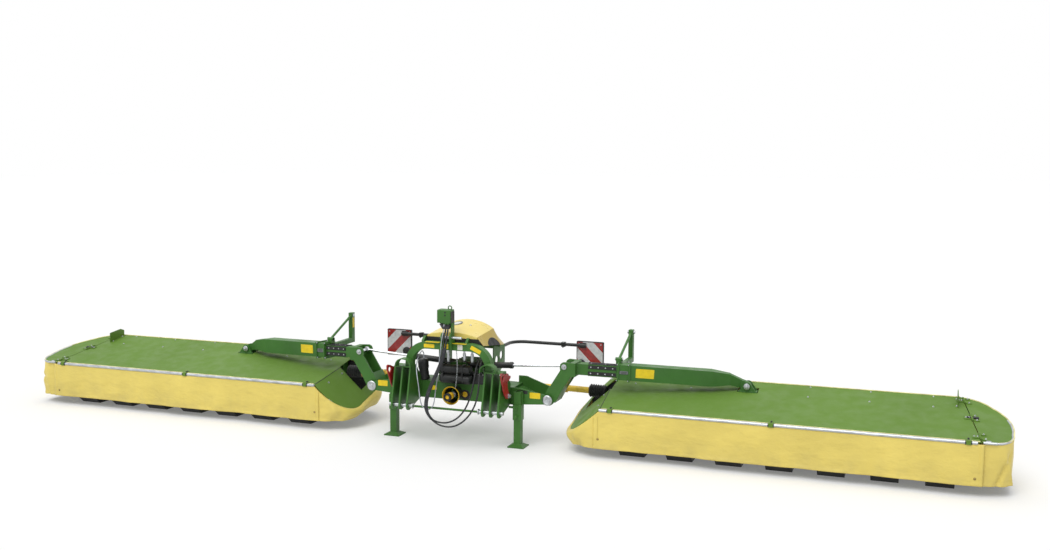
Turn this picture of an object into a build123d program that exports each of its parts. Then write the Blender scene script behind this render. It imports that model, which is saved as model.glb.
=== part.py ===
"""Butterfly disc mower for a tractor's rear three-point linkage, parked on its two legs.

Millimetres. +X is the machine's left (the right of a viewer in front of it), +Y points away from the
tractor and +Z is up. Y is first counted from the lower link axis, and every piece is moved by -Y_MID on
export, so that the origin lies on the ground under the middle of the outer box.
The right-hand pieces (+X) are modelled, and the left ones are their mirror images.
"""
from build123d import *
from math import atan, cos, radians, sin, tan
import os

os.makedirs("parts", exist_ok=True)

# Lower link brackets and their pins
LINK_Z = 371
LINK_PLATE_X = (396, 478, 561)
LINK_PLATE_T = 16
LINK_NOSE_R = 46
LINK_PIN_R = 18.3
LINK_PIN_OUT = 34       # a pin stands this far out of its outer plates
CAP_Z = 740
CAP_T = 14
PIN_GAP = 0.2           # radial clearance of a pin in its bore

# Carrier beam, its arms and the wing's pivot
BEAM_Y = (285, 561)
BEAM_Z = (400, 572)
BEAM_HALF = 600
ARM_PLATE_T = 16
ARM_TIP_R = 42
ARM_REAR_TOP_Z = 640
PIVOT_X = 949
PIVOT_Z = 472
PIVOT_R = 32
PIVOT_HEAD_R = 48
PIVOT_HEAD_T = 10

# Arch and mast for the top link
ARCH_Y = 60
ARCH_DEPTH = 80
ARCH_HALF = 457
ARCH_TOP_Z = 1008
ARCH_BAND = 70
ARCH_CORNER = 230
MAST_X = 38
MAST_T = 14
TOP_PIN_Y = 40
TOP_PIN_Z = 1066
TOP_PIN_R = 12.8
HOSE_BOX = (145, 105, 127)
HOSE_BOX_X = -28
HOSE_BOX_Y = 72
HOSE_BOX_Z = 1208
RING_R = 18
RING_WIRE_R = 5

# Hoses and cable that hang from the box to the valves: diameters, glands and fittings
HOSE_D = 16
CABLE_D = 10
GLAND_Y = 30
GLAND_Z = 1196
GLANDS = ((-7, 11), (17, 11), (-27, 7))
FITTING_Y = 320
FITTING_Z = 690
FITTING_X = (152, 196, 240)
CANISTER = (-380, 330, 40, 215)

# Parking legs
LEG_X = 667
LEG_W = 70
LEG_WALL = 6
LEG_PLAY = 0.5
LEG_TOP_Z = 545
SLEEVE_WALL = 8
LEG_SLEEVE_Z = (268, 420)
FOOT_W = 165
FOOT_T = 12
FOOT_CONE = 20

# Knee: the lower end of the wing's arm
KNEE_Y = (317, 529)
KNEE_PLATE_T = 18
KNEE_ROOT_R = 58
ROD_PIN_X = 1105
ROD_PIN_Z = 806
ROD_PIN_R = 16
KNEE_BLOCK_X = (1160, 1215)
KNEE_BLOCK_Z = (715, 845)

# Boom, swept back and leaning down, in its own frame: a along it, v backwards, b upwards
BOOM_START = (1110, 418, 783)
SWEEP = 14
BOOM_DROP = 2.6
BOOM_HALF_V = 55
BOOM_HALF_B = 53.5
BOOM_WALL = 9
BOOM_A = (70, 1040)
STRIP_T = 6.5
STRIP_W = 30
STRIP_GAP = 0.5
SLEEVE_A = (480, 1382)
SLEEVE_T = (9, 13)
TELESCOPE = 300
FLANGE_A = (480, 590)
FLANGE_T = 14
FLANGE_GROW = 14
TAPER_A = 1560
TAPER_HALF = (46, 52)
TIP_X = 2781
TIP_Y = 834.5
TIP_Z = 654
TIP_R = 36
TIP_PIN_R = 20
TIP_LUG_T = 62

# Bracket that stands behind the sleeve's collar
POST_X = 1560
POST_Y = 1030
POST_Z = (765, 1093)
POST_SIZE = (44, 60)
BRACE_R = 13

# Folding cylinders; the two cross beside each other at the machine's middle
CYL_BASE_X = -60
CYL_Z = 735
CYL_Y_RIGHT = 378
CYL_Y_LEFT = 468
CYL_R = 30
CYL_COLLAR_R = 33
CYL_LEN = 622
CYL_EYE_T = 71
ROD_R = 12.5
ROD_LEN = 630
ROD_EYE_T = 44
LUG_T = 12

# Drive: input shaft, gearbox and the telescoping shafts to the mower units
INPUT_Z = 474
INPUT_TIP_Y = 109
INPUT_R = 17.5
INPUT_STUB = 80
GEARBOX = (300, 260, 320)
GEARBOX_Y = 610
OUT = (215, 720, 525)
IN = (1455, 680, 515)
CORE_R = 17
YOKE_S = (20, 60)
YOKE_R = 34
CROSS_R = 5.5
EAR_Y = (22, 30)
EAR_R = 12
OUT_BOSS_R = 42
OUT_BOSS_END = 24         # the boss ends this far before the cross pin
MID_R = 24
OUTER_R = 31
SHAFT_GAP = 0.3
CORE_S = (0, 720)
MID_S = (495, 884)
OUTER_S = (785, 1215)
BELLOWS_S = 1045
BELLOWS_R = (54, 66)
BELLOWS_FOLDS = 7

# Roof of a mower unit: a cover that rises to the rear and a panel that falls to the inner end
RAIL_Y = 105
RAIL_Z = 462
RAIL_R = 13.5
COVER_Y = (119, 1045)
COVER_Z = 468.8         # upper face at the front edge
COVER_SLOPE = 0.199
COVER_T = 6
COVER_IN_X = 1521
COVER_IN_SKEW = 0.068
TONGUE_SLOPE = 0.9
TONGUE_X = 1160
HINGE_X = 4833
HINGE_SKEW = 0.153
HINGE_GAP = 8
HINGE_RISE = 9
HINGE_AT = (215, 588, 950)
KNUCKLE_R = 9
KNUCKLE_PIN_R = 5
KNUCKLE_LEN = (56, 26)
KNUCKLE_GAP = 4
FLAP_X = 5090
ROOF_REACH = 900
SKIRT_T = 4
SKIRT_Z = 95
SEAT = 0.3              # running gap between pieces that lie on each other
SLOT = ((1240, 1502), (600, 846))
FLAG = (4660, 790, 1035, 110)

# Frame under the roof
FRAME_BEAM_Y = (775, 895)
FRAME_BEAM_H = 78
FRAME_DROP = 9          # the beam's top lies this far under the roof
END_PLATE_X = (1546, 4762)
END_PLATE_T = 16
BRACKET_PLATE_T = 16
BRACKET_GAP = 6
BRACKET_X = (2700, 2876)

# Cutter bar, its skids and discs
BAR_X = (1450, 4800)
BAR_Y = (350, 590)
BAR_Z = (45, 98)
SKID_W = 236
DISC_COUNT = 7
DISC_X = 1795
DISC_PITCH = 455
DISC_Y = 425
DISC_LONG = 172
DISC_SHORT = 126
DISC_T = 9
BLADE_REACH = 230
BLADE_W = 46
BLADE_T = 4
HUB_R = 52
UNIT_BOX_X = 1466
UNIT_FLANGE_X = 1536

# Warning boards
BOARD_X = 1095
BOARD_Y = 1235
BOARD_W = 290
BOARD_T = 28
BOARD_TOP_Z = 908
LAMP_R = 46
LAMP_T = 12
BOARD_ARM_R = 17
BOARD_ARM_Z = 868

# Hood over the gearbox: sections of depth, half width and height at the rim, the fold and the crown
HOOD_SECTIONS = (
    (165, 330, 985, 262, 1062, 1098),
    (600, 345, 930, 262, 1092, 1170),
    (730, 330, 915, 240, 1010, 1060),
)
HOOD_WALL = 7
HOOD_LIP = 4
SUPPORT_X = 290
SUPPORT_T = 10
SUPPORT_Y = 515
SUPPORT_REAR_Y = 830

Y_MID = (BOARD_Y + BOARD_T / 2 + LAMP_T - LINK_NOSE_R) / 2
SHIFT = Location((0, -Y_MID, 0))
LEG_Y = BEAM_Y[0] - SLEEVE_WALL - LEG_PLAY - LEG_W / 2


def save(piece, label):
    """Moves a finished piece into the machine's frame and writes it under its name."""
    placed = piece.moved(SHIFT)
    placed.label = label
    export_step(placed, f"parts/{label}.step")


def save_pair(piece, label):
    """Writes the right-hand piece and its mirror image on the left."""
    save(piece, f"{label}_right")
    save(mirror(piece, about=Plane.YZ), f"{label}_left")


def front(y):
    """Upright plane across the machine at depth y, facing forwards: (x, z)."""
    return Plane.XZ.offset(-y)


def side(x):
    """Upright plane along the machine at x, facing +X: (y, z)."""
    return Plane.YZ.offset(x)


def slab(face, y_front, y_rear, mode=Mode.ADD):
    """Adds an (x, z) outline to the open part as a plate between two depths."""
    with BuildSketch(front(y_rear)) as shape:
        add(face)
    extrude(shape.sketch, amount=y_rear - y_front, mode=mode)


def wall(face, x_low, x_high, mode=Mode.ADD):
    """Adds a (y, z) outline to the open part as a plate between two widths."""
    with BuildSketch(side(x_low)) as shape:
        add(face)
    extrude(shape.sketch, amount=x_high - x_low, mode=mode)


def rect(low, high):
    """Rectangle between two corners."""
    with BuildSketch(mode=Mode.PRIVATE) as shape:
        with Locations(((low[0] + high[0]) / 2, (low[1] + high[1]) / 2)):
            Rectangle(high[0] - low[0], high[1] - low[1])
    return shape.sketch


def outline(*points):
    with BuildSketch(mode=Mode.PRIVATE) as shape:
        Polygon(*points, align=None)
    return shape.sketch


def hull(circles, corners=()):
    """Convex outline round circles (x, y, radius) and corner points."""
    with BuildSketch(mode=Mode.PRIVATE) as shape:
        for x, y, radius in circles:
            with Locations((x, y)):
                Circle(radius)
        if corners:
            Polygon(*corners, circles[0][:2], align=None)
        make_hull()
    return shape.sketch


def block(low, high, mode=Mode.ADD):
    """Box between two corners in the open part."""
    middle = [(a + b) / 2 for a, b in zip(low, high)]
    size = [b - a for a, b in zip(low, high)]
    with Locations(tuple(middle)):
        Box(*size, mode=mode)


def bar(start, end, radius, mode=Mode.ADD, bore=0):
    """Round bar or tube between two points in the open part."""
    way = Vector(*end) - Vector(*start)
    with BuildSketch(Plane(origin=start, z_dir=way)) as shape:
        Circle(radius)
        if bore:
            Circle(bore, mode=Mode.SUBTRACT)
    extrude(shape.sketch, amount=way.length, mode=mode)


# Lower link brackets, with their folded caps
PLATE_HALF = LINK_PLATE_T / 2
bracket_face = hull([(0, LINK_Z, LINK_NOSE_R)],
                    [(40, CAP_Z), (165, CAP_Z), (BEAM_Y[0], 610), (BEAM_Y[0], BEAM_Z[0] + 8)])
with BuildPart() as link_brackets:
    for x in LINK_PLATE_X:
        wall(bracket_face, x - PLATE_HALF, x + PLATE_HALF)
    block((LINK_PLATE_X[0] - PLATE_HALF, 40, CAP_Z), (LINK_PLATE_X[2] + PLATE_HALF, 165, CAP_Z + CAP_T))
    bar((300, 0, LINK_Z), (700, 0, LINK_Z), LINK_PIN_R + PIN_GAP, mode=Mode.SUBTRACT)
    mirror(about=Plane.YZ)
save(link_brackets.part, "link_brackets")

# Arch with the mast's plates and the stand of the hose box
ARCH_FOOT_Z = CAP_Z + CAP_T


def arch_face(half, top, corner):
    with BuildSketch(mode=Mode.PRIVATE) as shape:
        with Locations((0, (top + ARCH_FOOT_Z) / 2)):
            Rectangle(2 * half, top - ARCH_FOOT_Z)
        fillet(shape.vertices().group_by(Axis.Y)[-1], corner)
    return shape.sketch


mast_face = hull([(TOP_PIN_Y, TOP_PIN_Z, 44)],
                 [(ARCH_Y - 30, ARCH_TOP_Z - 60), (ARCH_Y + ARCH_DEPTH + 20, ARCH_TOP_Z - 60)])
with BuildPart() as headstock_arch:
    slab(arch_face(ARCH_HALF, ARCH_TOP_Z, ARCH_CORNER), ARCH_Y, ARCH_Y + ARCH_DEPTH)
    slab(arch_face(ARCH_HALF - ARCH_BAND, ARCH_TOP_Z - ARCH_BAND, ARCH_CORNER - ARCH_BAND),
         ARCH_Y, ARCH_Y + ARCH_DEPTH, mode=Mode.SUBTRACT)
    for x in (-MAST_X - MAST_T, MAST_X):
        wall(mast_face, x, x + MAST_T)
    block((MAST_X, HOSE_BOX_Y - 30, ARCH_TOP_Z), (MAST_X + MAST_T, HOSE_BOX_Y + 30, HOSE_BOX_Z))
    block((HOSE_BOX_X - 50, HOSE_BOX_Y - 30, HOSE_BOX_Z - 8), (MAST_X + MAST_T, HOSE_BOX_Y + 30, HOSE_BOX_Z))
    bar((-90, TOP_PIN_Y, TOP_PIN_Z), (90, TOP_PIN_Y, TOP_PIN_Z), TOP_PIN_R + PIN_GAP, mode=Mode.SUBTRACT)
save(headstock_arch.part, "headstock_arch")

# Box that the tractor's hoses are parked in, with its lifting ring
with BuildPart() as hose_box:
    with Locations((HOSE_BOX_X, HOSE_BOX_Y, HOSE_BOX_Z + HOSE_BOX[2] / 2)):
        Box(*HOSE_BOX)
    fillet(hose_box.edges().filter_by(Axis.Z), 14)
    chamfer(hose_box.faces().sort_by(Axis.Z)[-1].edges(), 6)
    for x, radius in GLANDS:
        bar((x, GLAND_Y, HOSE_BOX_Z + 2), (x, GLAND_Y, GLAND_Z), radius)
    ring_z = HOSE_BOX_Z + HOSE_BOX[2] + RING_R
    with Locations((HOSE_BOX_X + 46, HOSE_BOX_Y, ring_z)):
        Torus(RING_R, RING_WIRE_R, rotation=(90, 0, 0))
save(hose_box.part, "hose_box")

# Pins of the lower links, the top link, the wings' pivots and the cylinders' bases
LUG_Y = (CYL_Y_RIGHT - CYL_EYE_T / 2, CYL_Y_LEFT + CYL_EYE_T / 2)
with BuildPart() as hitch_pins:
    low_x = LINK_PLATE_X[0] - PLATE_HALF - LINK_PIN_OUT
    high_x = LINK_PLATE_X[2] + PLATE_HALF + LINK_PIN_OUT
    for s in (-1, 1):
        bar((s * low_x, 0, LINK_Z), (s * high_x, 0, LINK_Z), LINK_PIN_R)
        bar((s * low_x, 0, LINK_Z), (s * (low_x - 10), 0, LINK_Z), LINK_PIN_R + 9)
        y_low = BEAM_Y[0] - PIVOT_HEAD_T
        y_high = BEAM_Y[1] + PIVOT_HEAD_T
        bar((s * PIVOT_X, y_low, PIVOT_Z), (s * PIVOT_X, y_high, PIVOT_Z), PIVOT_R)
        bar((s * PIVOT_X, y_low, PIVOT_Z), (s * PIVOT_X, BEAM_Y[0], PIVOT_Z), PIVOT_HEAD_R - 12)
        bar((s * PIVOT_X, BEAM_Y[1], PIVOT_Z), (s * PIVOT_X, y_high, PIVOT_Z), PIVOT_HEAD_R - 12)
    bar((-MAST_X - MAST_T - 12, TOP_PIN_Y, TOP_PIN_Z), (155, TOP_PIN_Y, TOP_PIN_Z), TOP_PIN_R)
    bar((-MAST_X - MAST_T, TOP_PIN_Y, TOP_PIN_Z), (-MAST_X - MAST_T - 12, TOP_PIN_Y, TOP_PIN_Z), 22)
save(hitch_pins.part, "hitch_pins")

# Carrier beam: a closed box in the middle and open channels that the knees fold into
front_arm = hull([(PIVOT_X, PIVOT_Z, ARM_TIP_R)],
                 [(BEAM_HALF - 40, BEAM_Z[0]), (BEAM_HALF - 40, BEAM_Z[1]), (690, BEAM_Z[1] - 8)])
rear_arm = hull([(PIVOT_X, PIVOT_Z, ARM_TIP_R + 14)],
                [(BEAM_HALF - 40, BEAM_Z[0]), (BEAM_HALF - 40, ARM_REAR_TOP_Z), (640, ARM_REAR_TOP_Z)])
channel_floor = outline((BEAM_HALF - 10, BEAM_Z[0]), (860, BEAM_Z[0] + 22), (860, BEAM_Z[0] + 34),
                        (845, BEAM_Z[0] + 34), (BEAM_HALF - 10, BEAM_Z[1] - 24))
lug_face = hull([(-CYL_BASE_X, CYL_Z, 38), (CYL_BASE_X, CYL_Z, 38)], [(-112, BEAM_Z[1]), (112, BEAM_Z[1])])
with BuildPart() as carrier_beam:
    block((0, BEAM_Y[0], BEAM_Z[0]), (BEAM_HALF, BEAM_Y[1], BEAM_Z[1]))
    slab(front_arm, BEAM_Y[0], BEAM_Y[0] + ARM_PLATE_T)
    slab(rear_arm, BEAM_Y[1] - ARM_PLATE_T, BEAM_Y[1])
    slab(channel_floor, BEAM_Y[0] + ARM_PLATE_T, BEAM_Y[1] - ARM_PLATE_T)
    bar((PIVOT_X, 200, PIVOT_Z), (PIVOT_X, 640, PIVOT_Z), PIVOT_R + PIN_GAP, mode=Mode.SUBTRACT)
    mirror(about=Plane.YZ)
    bar((0, 200, INPUT_Z), (0, 640, INPUT_Z), 42, mode=Mode.SUBTRACT)
    slab(lug_face, LUG_Y[0] - SEAT - LUG_T, LUG_Y[0] - SEAT)
    slab(lug_face, LUG_Y[0] + CYL_EYE_T + SEAT, LUG_Y[1] - CYL_EYE_T - SEAT)
    slab(lug_face, LUG_Y[1] + SEAT, LUG_Y[1] + SEAT + LUG_T)
    for x, y in ((CYL_BASE_X, CYL_Y_RIGHT), (-CYL_BASE_X, CYL_Y_LEFT)):
        reach = CYL_EYE_T / 2 + LUG_T + 8
        bar((x, y - reach, CYL_Z), (x, y + reach, CYL_Z), ROD_PIN_R)
save(carrier_beam.part, "carrier_beam")

# Sleeves of the parking legs, their spring pins and the cross rods
sleeve_half = LEG_W / 2 + LEG_PLAY + SLEEVE_WALL
with BuildPart() as leg_sleeves:
    block((LEG_X - sleeve_half, LEG_Y - sleeve_half, LEG_SLEEVE_Z[0]),
          (LEG_X + sleeve_half, LEG_Y + sleeve_half, LEG_SLEEVE_Z[1]))
    block((LEG_X - sleeve_half, LEG_Y, LEG_SLEEVE_Z[1]), (LEG_X + sleeve_half, LEG_Y + sleeve_half, 530))
    fillet(leg_sleeves.edges().filter_by(Axis.Z), 6)
    inner = sleeve_half - SLEEVE_WALL
    block((LEG_X - inner, LEG_Y - inner, 200), (LEG_X + inner, LEG_Y + inner, 600), mode=Mode.SUBTRACT)
    for z in (310, 380):
        bar((LEG_X, LEG_Y - sleeve_half, z), (LEG_X, LEG_Y - sleeve_half - 26, z), 8)
    with Locations((LEG_X, LEG_Y - sleeve_half - 34, 310)):
        Sphere(15)
    rod_x = LINK_PLATE_X[2] + PLATE_HALF
    bar((rod_x, LEG_Y, 385), (LEG_X - sleeve_half + 4, LEG_Y, 385), 11)
    mirror(about=Plane.YZ)
    rod_x = LINK_PLATE_X[0] - PLATE_HALF
    bar((-rod_x, 62, 354), (rod_x, 62, 354), 11)
save(leg_sleeves.part, "leg_sleeves")

# Parking leg: a square tube on a bevelled foot
with BuildPart() as parking_leg:
    block((LEG_X - LEG_W / 2, LEG_Y - LEG_W / 2, FOOT_T), (LEG_X + LEG_W / 2, LEG_Y + LEG_W / 2, LEG_TOP_Z))
    hollow = LEG_W / 2 - LEG_WALL
    block((LEG_X - hollow, LEG_Y - hollow, FOOT_T + FOOT_CONE),
          (LEG_X + hollow, LEG_Y + hollow, LEG_TOP_Z), mode=Mode.SUBTRACT)
    block((LEG_X - FOOT_W / 2, LEG_Y - FOOT_W / 2, 0), (LEG_X + FOOT_W / 2, LEG_Y + FOOT_W / 2, FOOT_T))
    for z, width in ((FOOT_T, FOOT_W - 16), (FOOT_T + FOOT_CONE, LEG_W + 10)):
        with BuildSketch(Plane.XY.offset(z)):
            with Locations((LEG_X, LEG_Y)):
                Rectangle(width, width)
    loft(ruled=True)
save_pair(parking_leg.part, "parking_leg")

# Red hooks that hold the folded wings
hook_x = LINK_PLATE_X[2] + PLATE_HALF + 1
with BuildPart() as lock_hooks:
    with BuildSketch(side(hook_x)):
        add(hull([(150, 511, 24), (146, 650, 17)]))
        with Locations((158, 690)):
            Circle(42)
            Circle(20, mode=Mode.SUBTRACT)
        with Locations((190, 668)):
            Rectangle(60, 26, mode=Mode.SUBTRACT)
    extrude(amount=14)
    bar((hook_x - 1, 150, 511), (hook_x + 24, 150, 511), 13)
    mirror(about=Plane.YZ)
save(lock_hooks.part, "lock_hooks")

# Gearbox with ribs, its input boss and its two outputs
with BuildPart() as gearbox:
    low = (-GEARBOX[0] / 2, GEARBOX_Y, BEAM_Z[0] + 10)
    block(low, (GEARBOX[0] / 2, GEARBOX_Y + GEARBOX[1], low[2] + GEARBOX[2]))
    fillet(gearbox.edges().filter_by(Axis.Y), 28)
    for y in (GEARBOX_Y + 40, GEARBOX_Y + 100, GEARBOX_Y + 160, GEARBOX_Y + 220):
        block((-GEARBOX[0] / 2 - 8, y - 5, low[2] + 60), (GEARBOX[0] / 2 + 8, y + 5, low[2] + GEARBOX[2] + 10))
    bar((0, BEAM_Y[1], INPUT_Z), (0, GEARBOX_Y + 20, INPUT_Z), 62)
    bar((0, BEAM_Y[1], INPUT_Z), (0, GEARBOX_Y + 20, INPUT_Z), 28, mode=Mode.SUBTRACT)
    for s in (-1, 1):
        boss_x = s * (OUT[0] - OUT_BOSS_END)
        bar((s * GEARBOX[0] / 2, OUT[1], OUT[2]), (boss_x, OUT[1], OUT[2]), OUT_BOSS_R)
        ear_face = hull([(s * OUT[0], OUT[2], EAR_R)], [(boss_x - s, OUT[2] - 24), (boss_x - s, OUT[2] + 24)])
        slab(ear_face, OUT[1] - EAR_Y[1], OUT[1] - EAR_Y[0])
        slab(ear_face, OUT[1] + EAR_Y[0], OUT[1] + EAR_Y[1])
        bar((s * OUT[0], OUT[1] - EAR_Y[1] - 5, OUT[2]), (s * OUT[0], OUT[1] + EAR_Y[1] + 5, OUT[2]),
            CROSS_R + PIN_GAP, mode=Mode.SUBTRACT)
save(gearbox.part, "gearbox")

# Plates that carry the hood and the board arms
support_face = outline((SUPPORT_Y, BEAM_Z[1]), (BEAM_Y[1], BEAM_Z[1]), (SUPPORT_REAR_Y, 700),
                       (SUPPORT_REAR_Y, 900), (590, 918), (SUPPORT_Y, 918))
with BuildPart() as hood_supports:
    wall(support_face, SUPPORT_X, SUPPORT_X + SUPPORT_T)
    for y, z, radius in ((605, 770, 42), (730, 800, 42)):
        bar((SUPPORT_X - 5, y, z), (SUPPORT_X + SUPPORT_T + 5, y, z), radius, mode=Mode.SUBTRACT)
    rim_z = HOOD_SECTIONS[1][2] - HOOD_LIP
    block((SUPPORT_X, 570, rim_z - 12), (HOOD_SECTIONS[1][1] + 4, HOOD_SECTIONS[1][0], rim_z - SEAT))
    block((0, SUPPORT_REAR_Y - 40, BOARD_ARM_Z - 20), (SUPPORT_X + SUPPORT_T, SUPPORT_REAR_Y, BOARD_ARM_Z + 20))
    mirror(about=Plane.YZ)
save(hood_supports.part, "hood_supports")


def hood_face(half, rim, fold_half, fold, crown, inset):
    """Cross-section of the hood, or of its hollow where inset is the wall."""
    low = rim - 8 * inset - HOOD_LIP
    folds = [(s * (fold_half - inset), fold - inset / 2) for s in (-1, 1)]
    with BuildSketch(mode=Mode.PRIVATE) as shape:
        with BuildLine():
            ThreePointArc(folds[0], (0, crown - inset), folds[1])
            Polyline(folds[1], (half - inset, rim), (half - inset, low), (inset - half, low),
                     (inset - half, rim), folds[0])
        make_face()
    return shape.sketch


with BuildPart() as hood:
    for y, half, rim, fold_half, fold, crown in HOOD_SECTIONS:
        with BuildSketch(front(y)):
            add(hood_face(half, rim, fold_half, fold, crown, 0))
    loft(ruled=True)
    for index, (y, half, rim, fold_half, fold, crown) in enumerate(HOOD_SECTIONS):
        with BuildSketch(front(y + HOOD_WALL * (1 - index))):
            add(hood_face(half, rim, fold_half, fold, crown, HOOD_WALL))
    loft(ruled=True, mode=Mode.SUBTRACT)
save(hood.part, "hood")

# Black canister and valve block on the beam
with BuildPart() as valve_block:
    canister_x, canister_y, canister_r, canister_h = CANISTER
    bar((canister_x, canister_y, BEAM_Z[1]), (canister_x, canister_y, BEAM_Z[1] + canister_h), canister_r)
    fillet(valve_block.faces().sort_by(Axis.Z)[-1].edges(), 12)
    block((120, 292, BEAM_Z[1]), (300, 346, BEAM_Z[1] + 92))
    for x in FITTING_X:
        bar((x, FITTING_Y, BEAM_Z[1] + 92), (x, FITTING_Y, FITTING_Z), 12)
save(valve_block.part, "valve_block")

# Hoses and cable: routes of straight runs joined by tangent arcs, as large as the runs allow
PRESSURE_ROUTE = (
    (-7, 30, 1196), (-7, 30, 1160), (-7, 14, 1118), (-6, -10, 1080), (-5, -25, 1035), (-7, -31, 970),
    (-20, -35, 885), (-54, -38, 790), (-106, -40, 680), (-160, -42, 565), (-196, -42, 455), (-200, -42, 365),
    (-165, -42, 295), (-100, -42, 250), (-20, -40, 236), (65, -40, 250), (150, -38, 300), (220, -34, 385),
    (266, -26, 490), (290, -10, 600), (298, 20, 705), (296, 75, 795), (280, 155, 835), (252.5, 231.5, 834),
    (227, 271.5, 819), (207, 303, 786), (196, 320, 740), (196, 320, 690),
)
RETURN_ROUTE = (
    (17, 30, 1196), (17, 30, 1160), (17, 14, 1118), (18, -10, 1080), (20, -27, 1035), (19, -38, 968),
    (6, -48, 885), (-24, -60, 790), (-76, -66, 680), (-128, -66, 565), (-164, -66, 450), (-166, -66, 360),
    (-133, -66, 285), (-72, -64, 233), (10, -62, 208), (103, -60, 212), (192, -56, 256), (266, -50, 330),
    (322, -42, 424), (350, -30, 526), (354, -8, 630), (342, 36, 724), (322, 98, 796), (300, 165, 826),
    (279, 227, 829), (261, 269, 814), (247.5, 302, 782), (240, 320, 738), (240, 320, 690),
)
CABLE_ROUTE = (
    (-27, 30, 1196), (-27, 30, 1164), (-27, 16, 1124), (-28, -6, 1084), (-31, -20, 1038), (-38, -24, 965),
    (-52, -18, 870), (-66, -12, 760), (-84, -10, 650), (-98, -10, 560), (-106, -11, 490), (-114, -12, 434),
    (-124, -12, 392), (-142, -13, 368), (-168, -14, 354), (-198, -15, 353), (-225, -16, 365),
    (-245, -16, 387), (-256, -16, 415), (-265, -15, 458), (-274, -13, 520), (-284, -8, 590), (-304, 4, 668),
    (-322, 26, 740), (-334, 64, 806), (-338, 118, 852), (-346, 184, 878), (-363, 240, 880),
    (-374, 283, 869), (-379, 313, 851), (-380, 330, 822), (-380, 330, 787),
)


def cord_tube(label, route, diameter):
    """Writes a cord's tube along its route and prints its bends' radii."""
    points = [Vector(*point) for point in route]
    radii = []
    for before, corner, after in zip(points, points[1:], points[2:]):
        turn = (corner - before).get_angle(after - corner)
        shorter = min((corner - before).length, (after - corner).length)
        radii.append(0.45 * shorter / tan(radians(turn) / 2))
    with BuildPart() as cord:
        with BuildLine() as path:
            FilletPolyline(*points, radius=radii)
        with BuildSketch(Plane(origin=path.line @ 0, z_dir=path.line % 0)):
            Circle(diameter / 2)
        sweep(path=path.line)
    print(label, "radii:", [round(radius) for radius in radii])
    save(cord.part, label)


cord_tube("pressure_hose", PRESSURE_ROUTE, HOSE_D)
cord_tube("return_hose", RETURN_ROUTE, HOSE_D)
cord_tube("control_cable", CABLE_ROUTE, CABLE_D)

# Guard ring round the input shaft, and the shaft itself
with BuildPart() as input_guard:
    with BuildSketch(Plane.YZ):
        Polygon((BEAM_Y[0], INPUT_Z + 66), (INPUT_TIP_Y + 30, INPUT_Z + 84), (INPUT_TIP_Y + 16, INPUT_Z + 92),
                (INPUT_TIP_Y + 16, INPUT_Z + 87), (INPUT_TIP_Y + 28, INPUT_Z + 79), (BEAM_Y[0], INPUT_Z + 61),
                align=None)
    revolve(axis=Axis((0, 0, INPUT_Z), (0, 1, 0)))
save(input_guard.part, "input_guard")

with BuildPart() as input_shaft:
    bar((0, INPUT_TIP_Y, INPUT_Z), (0, INPUT_TIP_Y + INPUT_STUB, INPUT_Z), INPUT_R)
    chamfer(input_shaft.faces().sort_by(Axis.Y)[0].edges(), 2)
    bar((0, INPUT_TIP_Y + INPUT_STUB, INPUT_Z), (0, GEARBOX_Y + 15, INPUT_Z), 27.7)
save(input_shaft.part, "input_shaft")

# Warning boards with their lamps, and the bent arms that carry them
with BuildPart() as warning_boards:
    block((BOARD_X - BOARD_W / 2, BOARD_Y - BOARD_T / 2, BOARD_TOP_Z - BOARD_W),
          (BOARD_X + BOARD_W / 2, BOARD_Y + BOARD_T / 2, BOARD_TOP_Z))
    fillet(warning_boards.edges().filter_by(Axis.Y), 10)
    lamp = (BOARD_X - BOARD_W / 2 + LAMP_R + 8, BOARD_TOP_Z - BOARD_W + LAMP_R + 8)
    bar((lamp[0], BOARD_Y + BOARD_T / 2, lamp[1]), (lamp[0], BOARD_Y + BOARD_T / 2 + LAMP_T, lamp[1]), LAMP_R)
    mirror(about=Plane.YZ)
save(warning_boards.part, "warning_boards")

arm_y = BOARD_Y - BOARD_T / 2 - BOARD_ARM_R - 6
with BuildPart() as board_arms:
    with BuildLine() as arm_path:
        FilletPolyline((265, SUPPORT_REAR_Y, BOARD_ARM_Z), (265, arm_y, BOARD_ARM_Z),
                       (BOARD_X - 40, arm_y, BOARD_ARM_Z), radius=150)
    with BuildSketch(Plane(origin=arm_path.line @ 0, z_dir=arm_path.line % 0)):
        Circle(BOARD_ARM_R)
    sweep(path=arm_path.line)
    block((BOARD_X - 110, arm_y + 4, BOARD_ARM_Z - 26), (BOARD_X - 40, BOARD_Y - BOARD_T / 2, BOARD_ARM_Z + 26))
    block((796, arm_y - 24, BOARD_ARM_Z - 24), (836, arm_y + 24, BOARD_ARM_Z + 24))
    mirror(about=Plane.YZ)
save(board_arms.part, "board_arms")


# Wing arm: the knee's channel and the inner boom with its wear strips
S = sin(radians(SWEEP))
C = cos(radians(SWEEP))
DROP_S = sin(radians(BOOM_DROP))
DROP_C = cos(radians(BOOM_DROP))
BOOM_DIR = Vector(C * DROP_C, S * DROP_C, -DROP_S)


def boom_end(a):
    """Plane square to the boom at a: (v, b), facing outwards."""
    return Plane(origin=Vector(*BOOM_START) + BOOM_DIR * a, x_dir=(-S, C, 0), z_dir=BOOM_DIR)


def boom_box(a_low, a_high, v, b, mode=Mode.ADD):
    """Box along the boom, between v[0] and v[1] and between b[0] and b[1], in the open part."""
    with BuildSketch(boom_end(a_low)) as shape:
        add(rect((v[0], b[0]), (v[1], b[1])))
    extrude(shape.sketch, amount=a_high - a_low, mode=mode)


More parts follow.
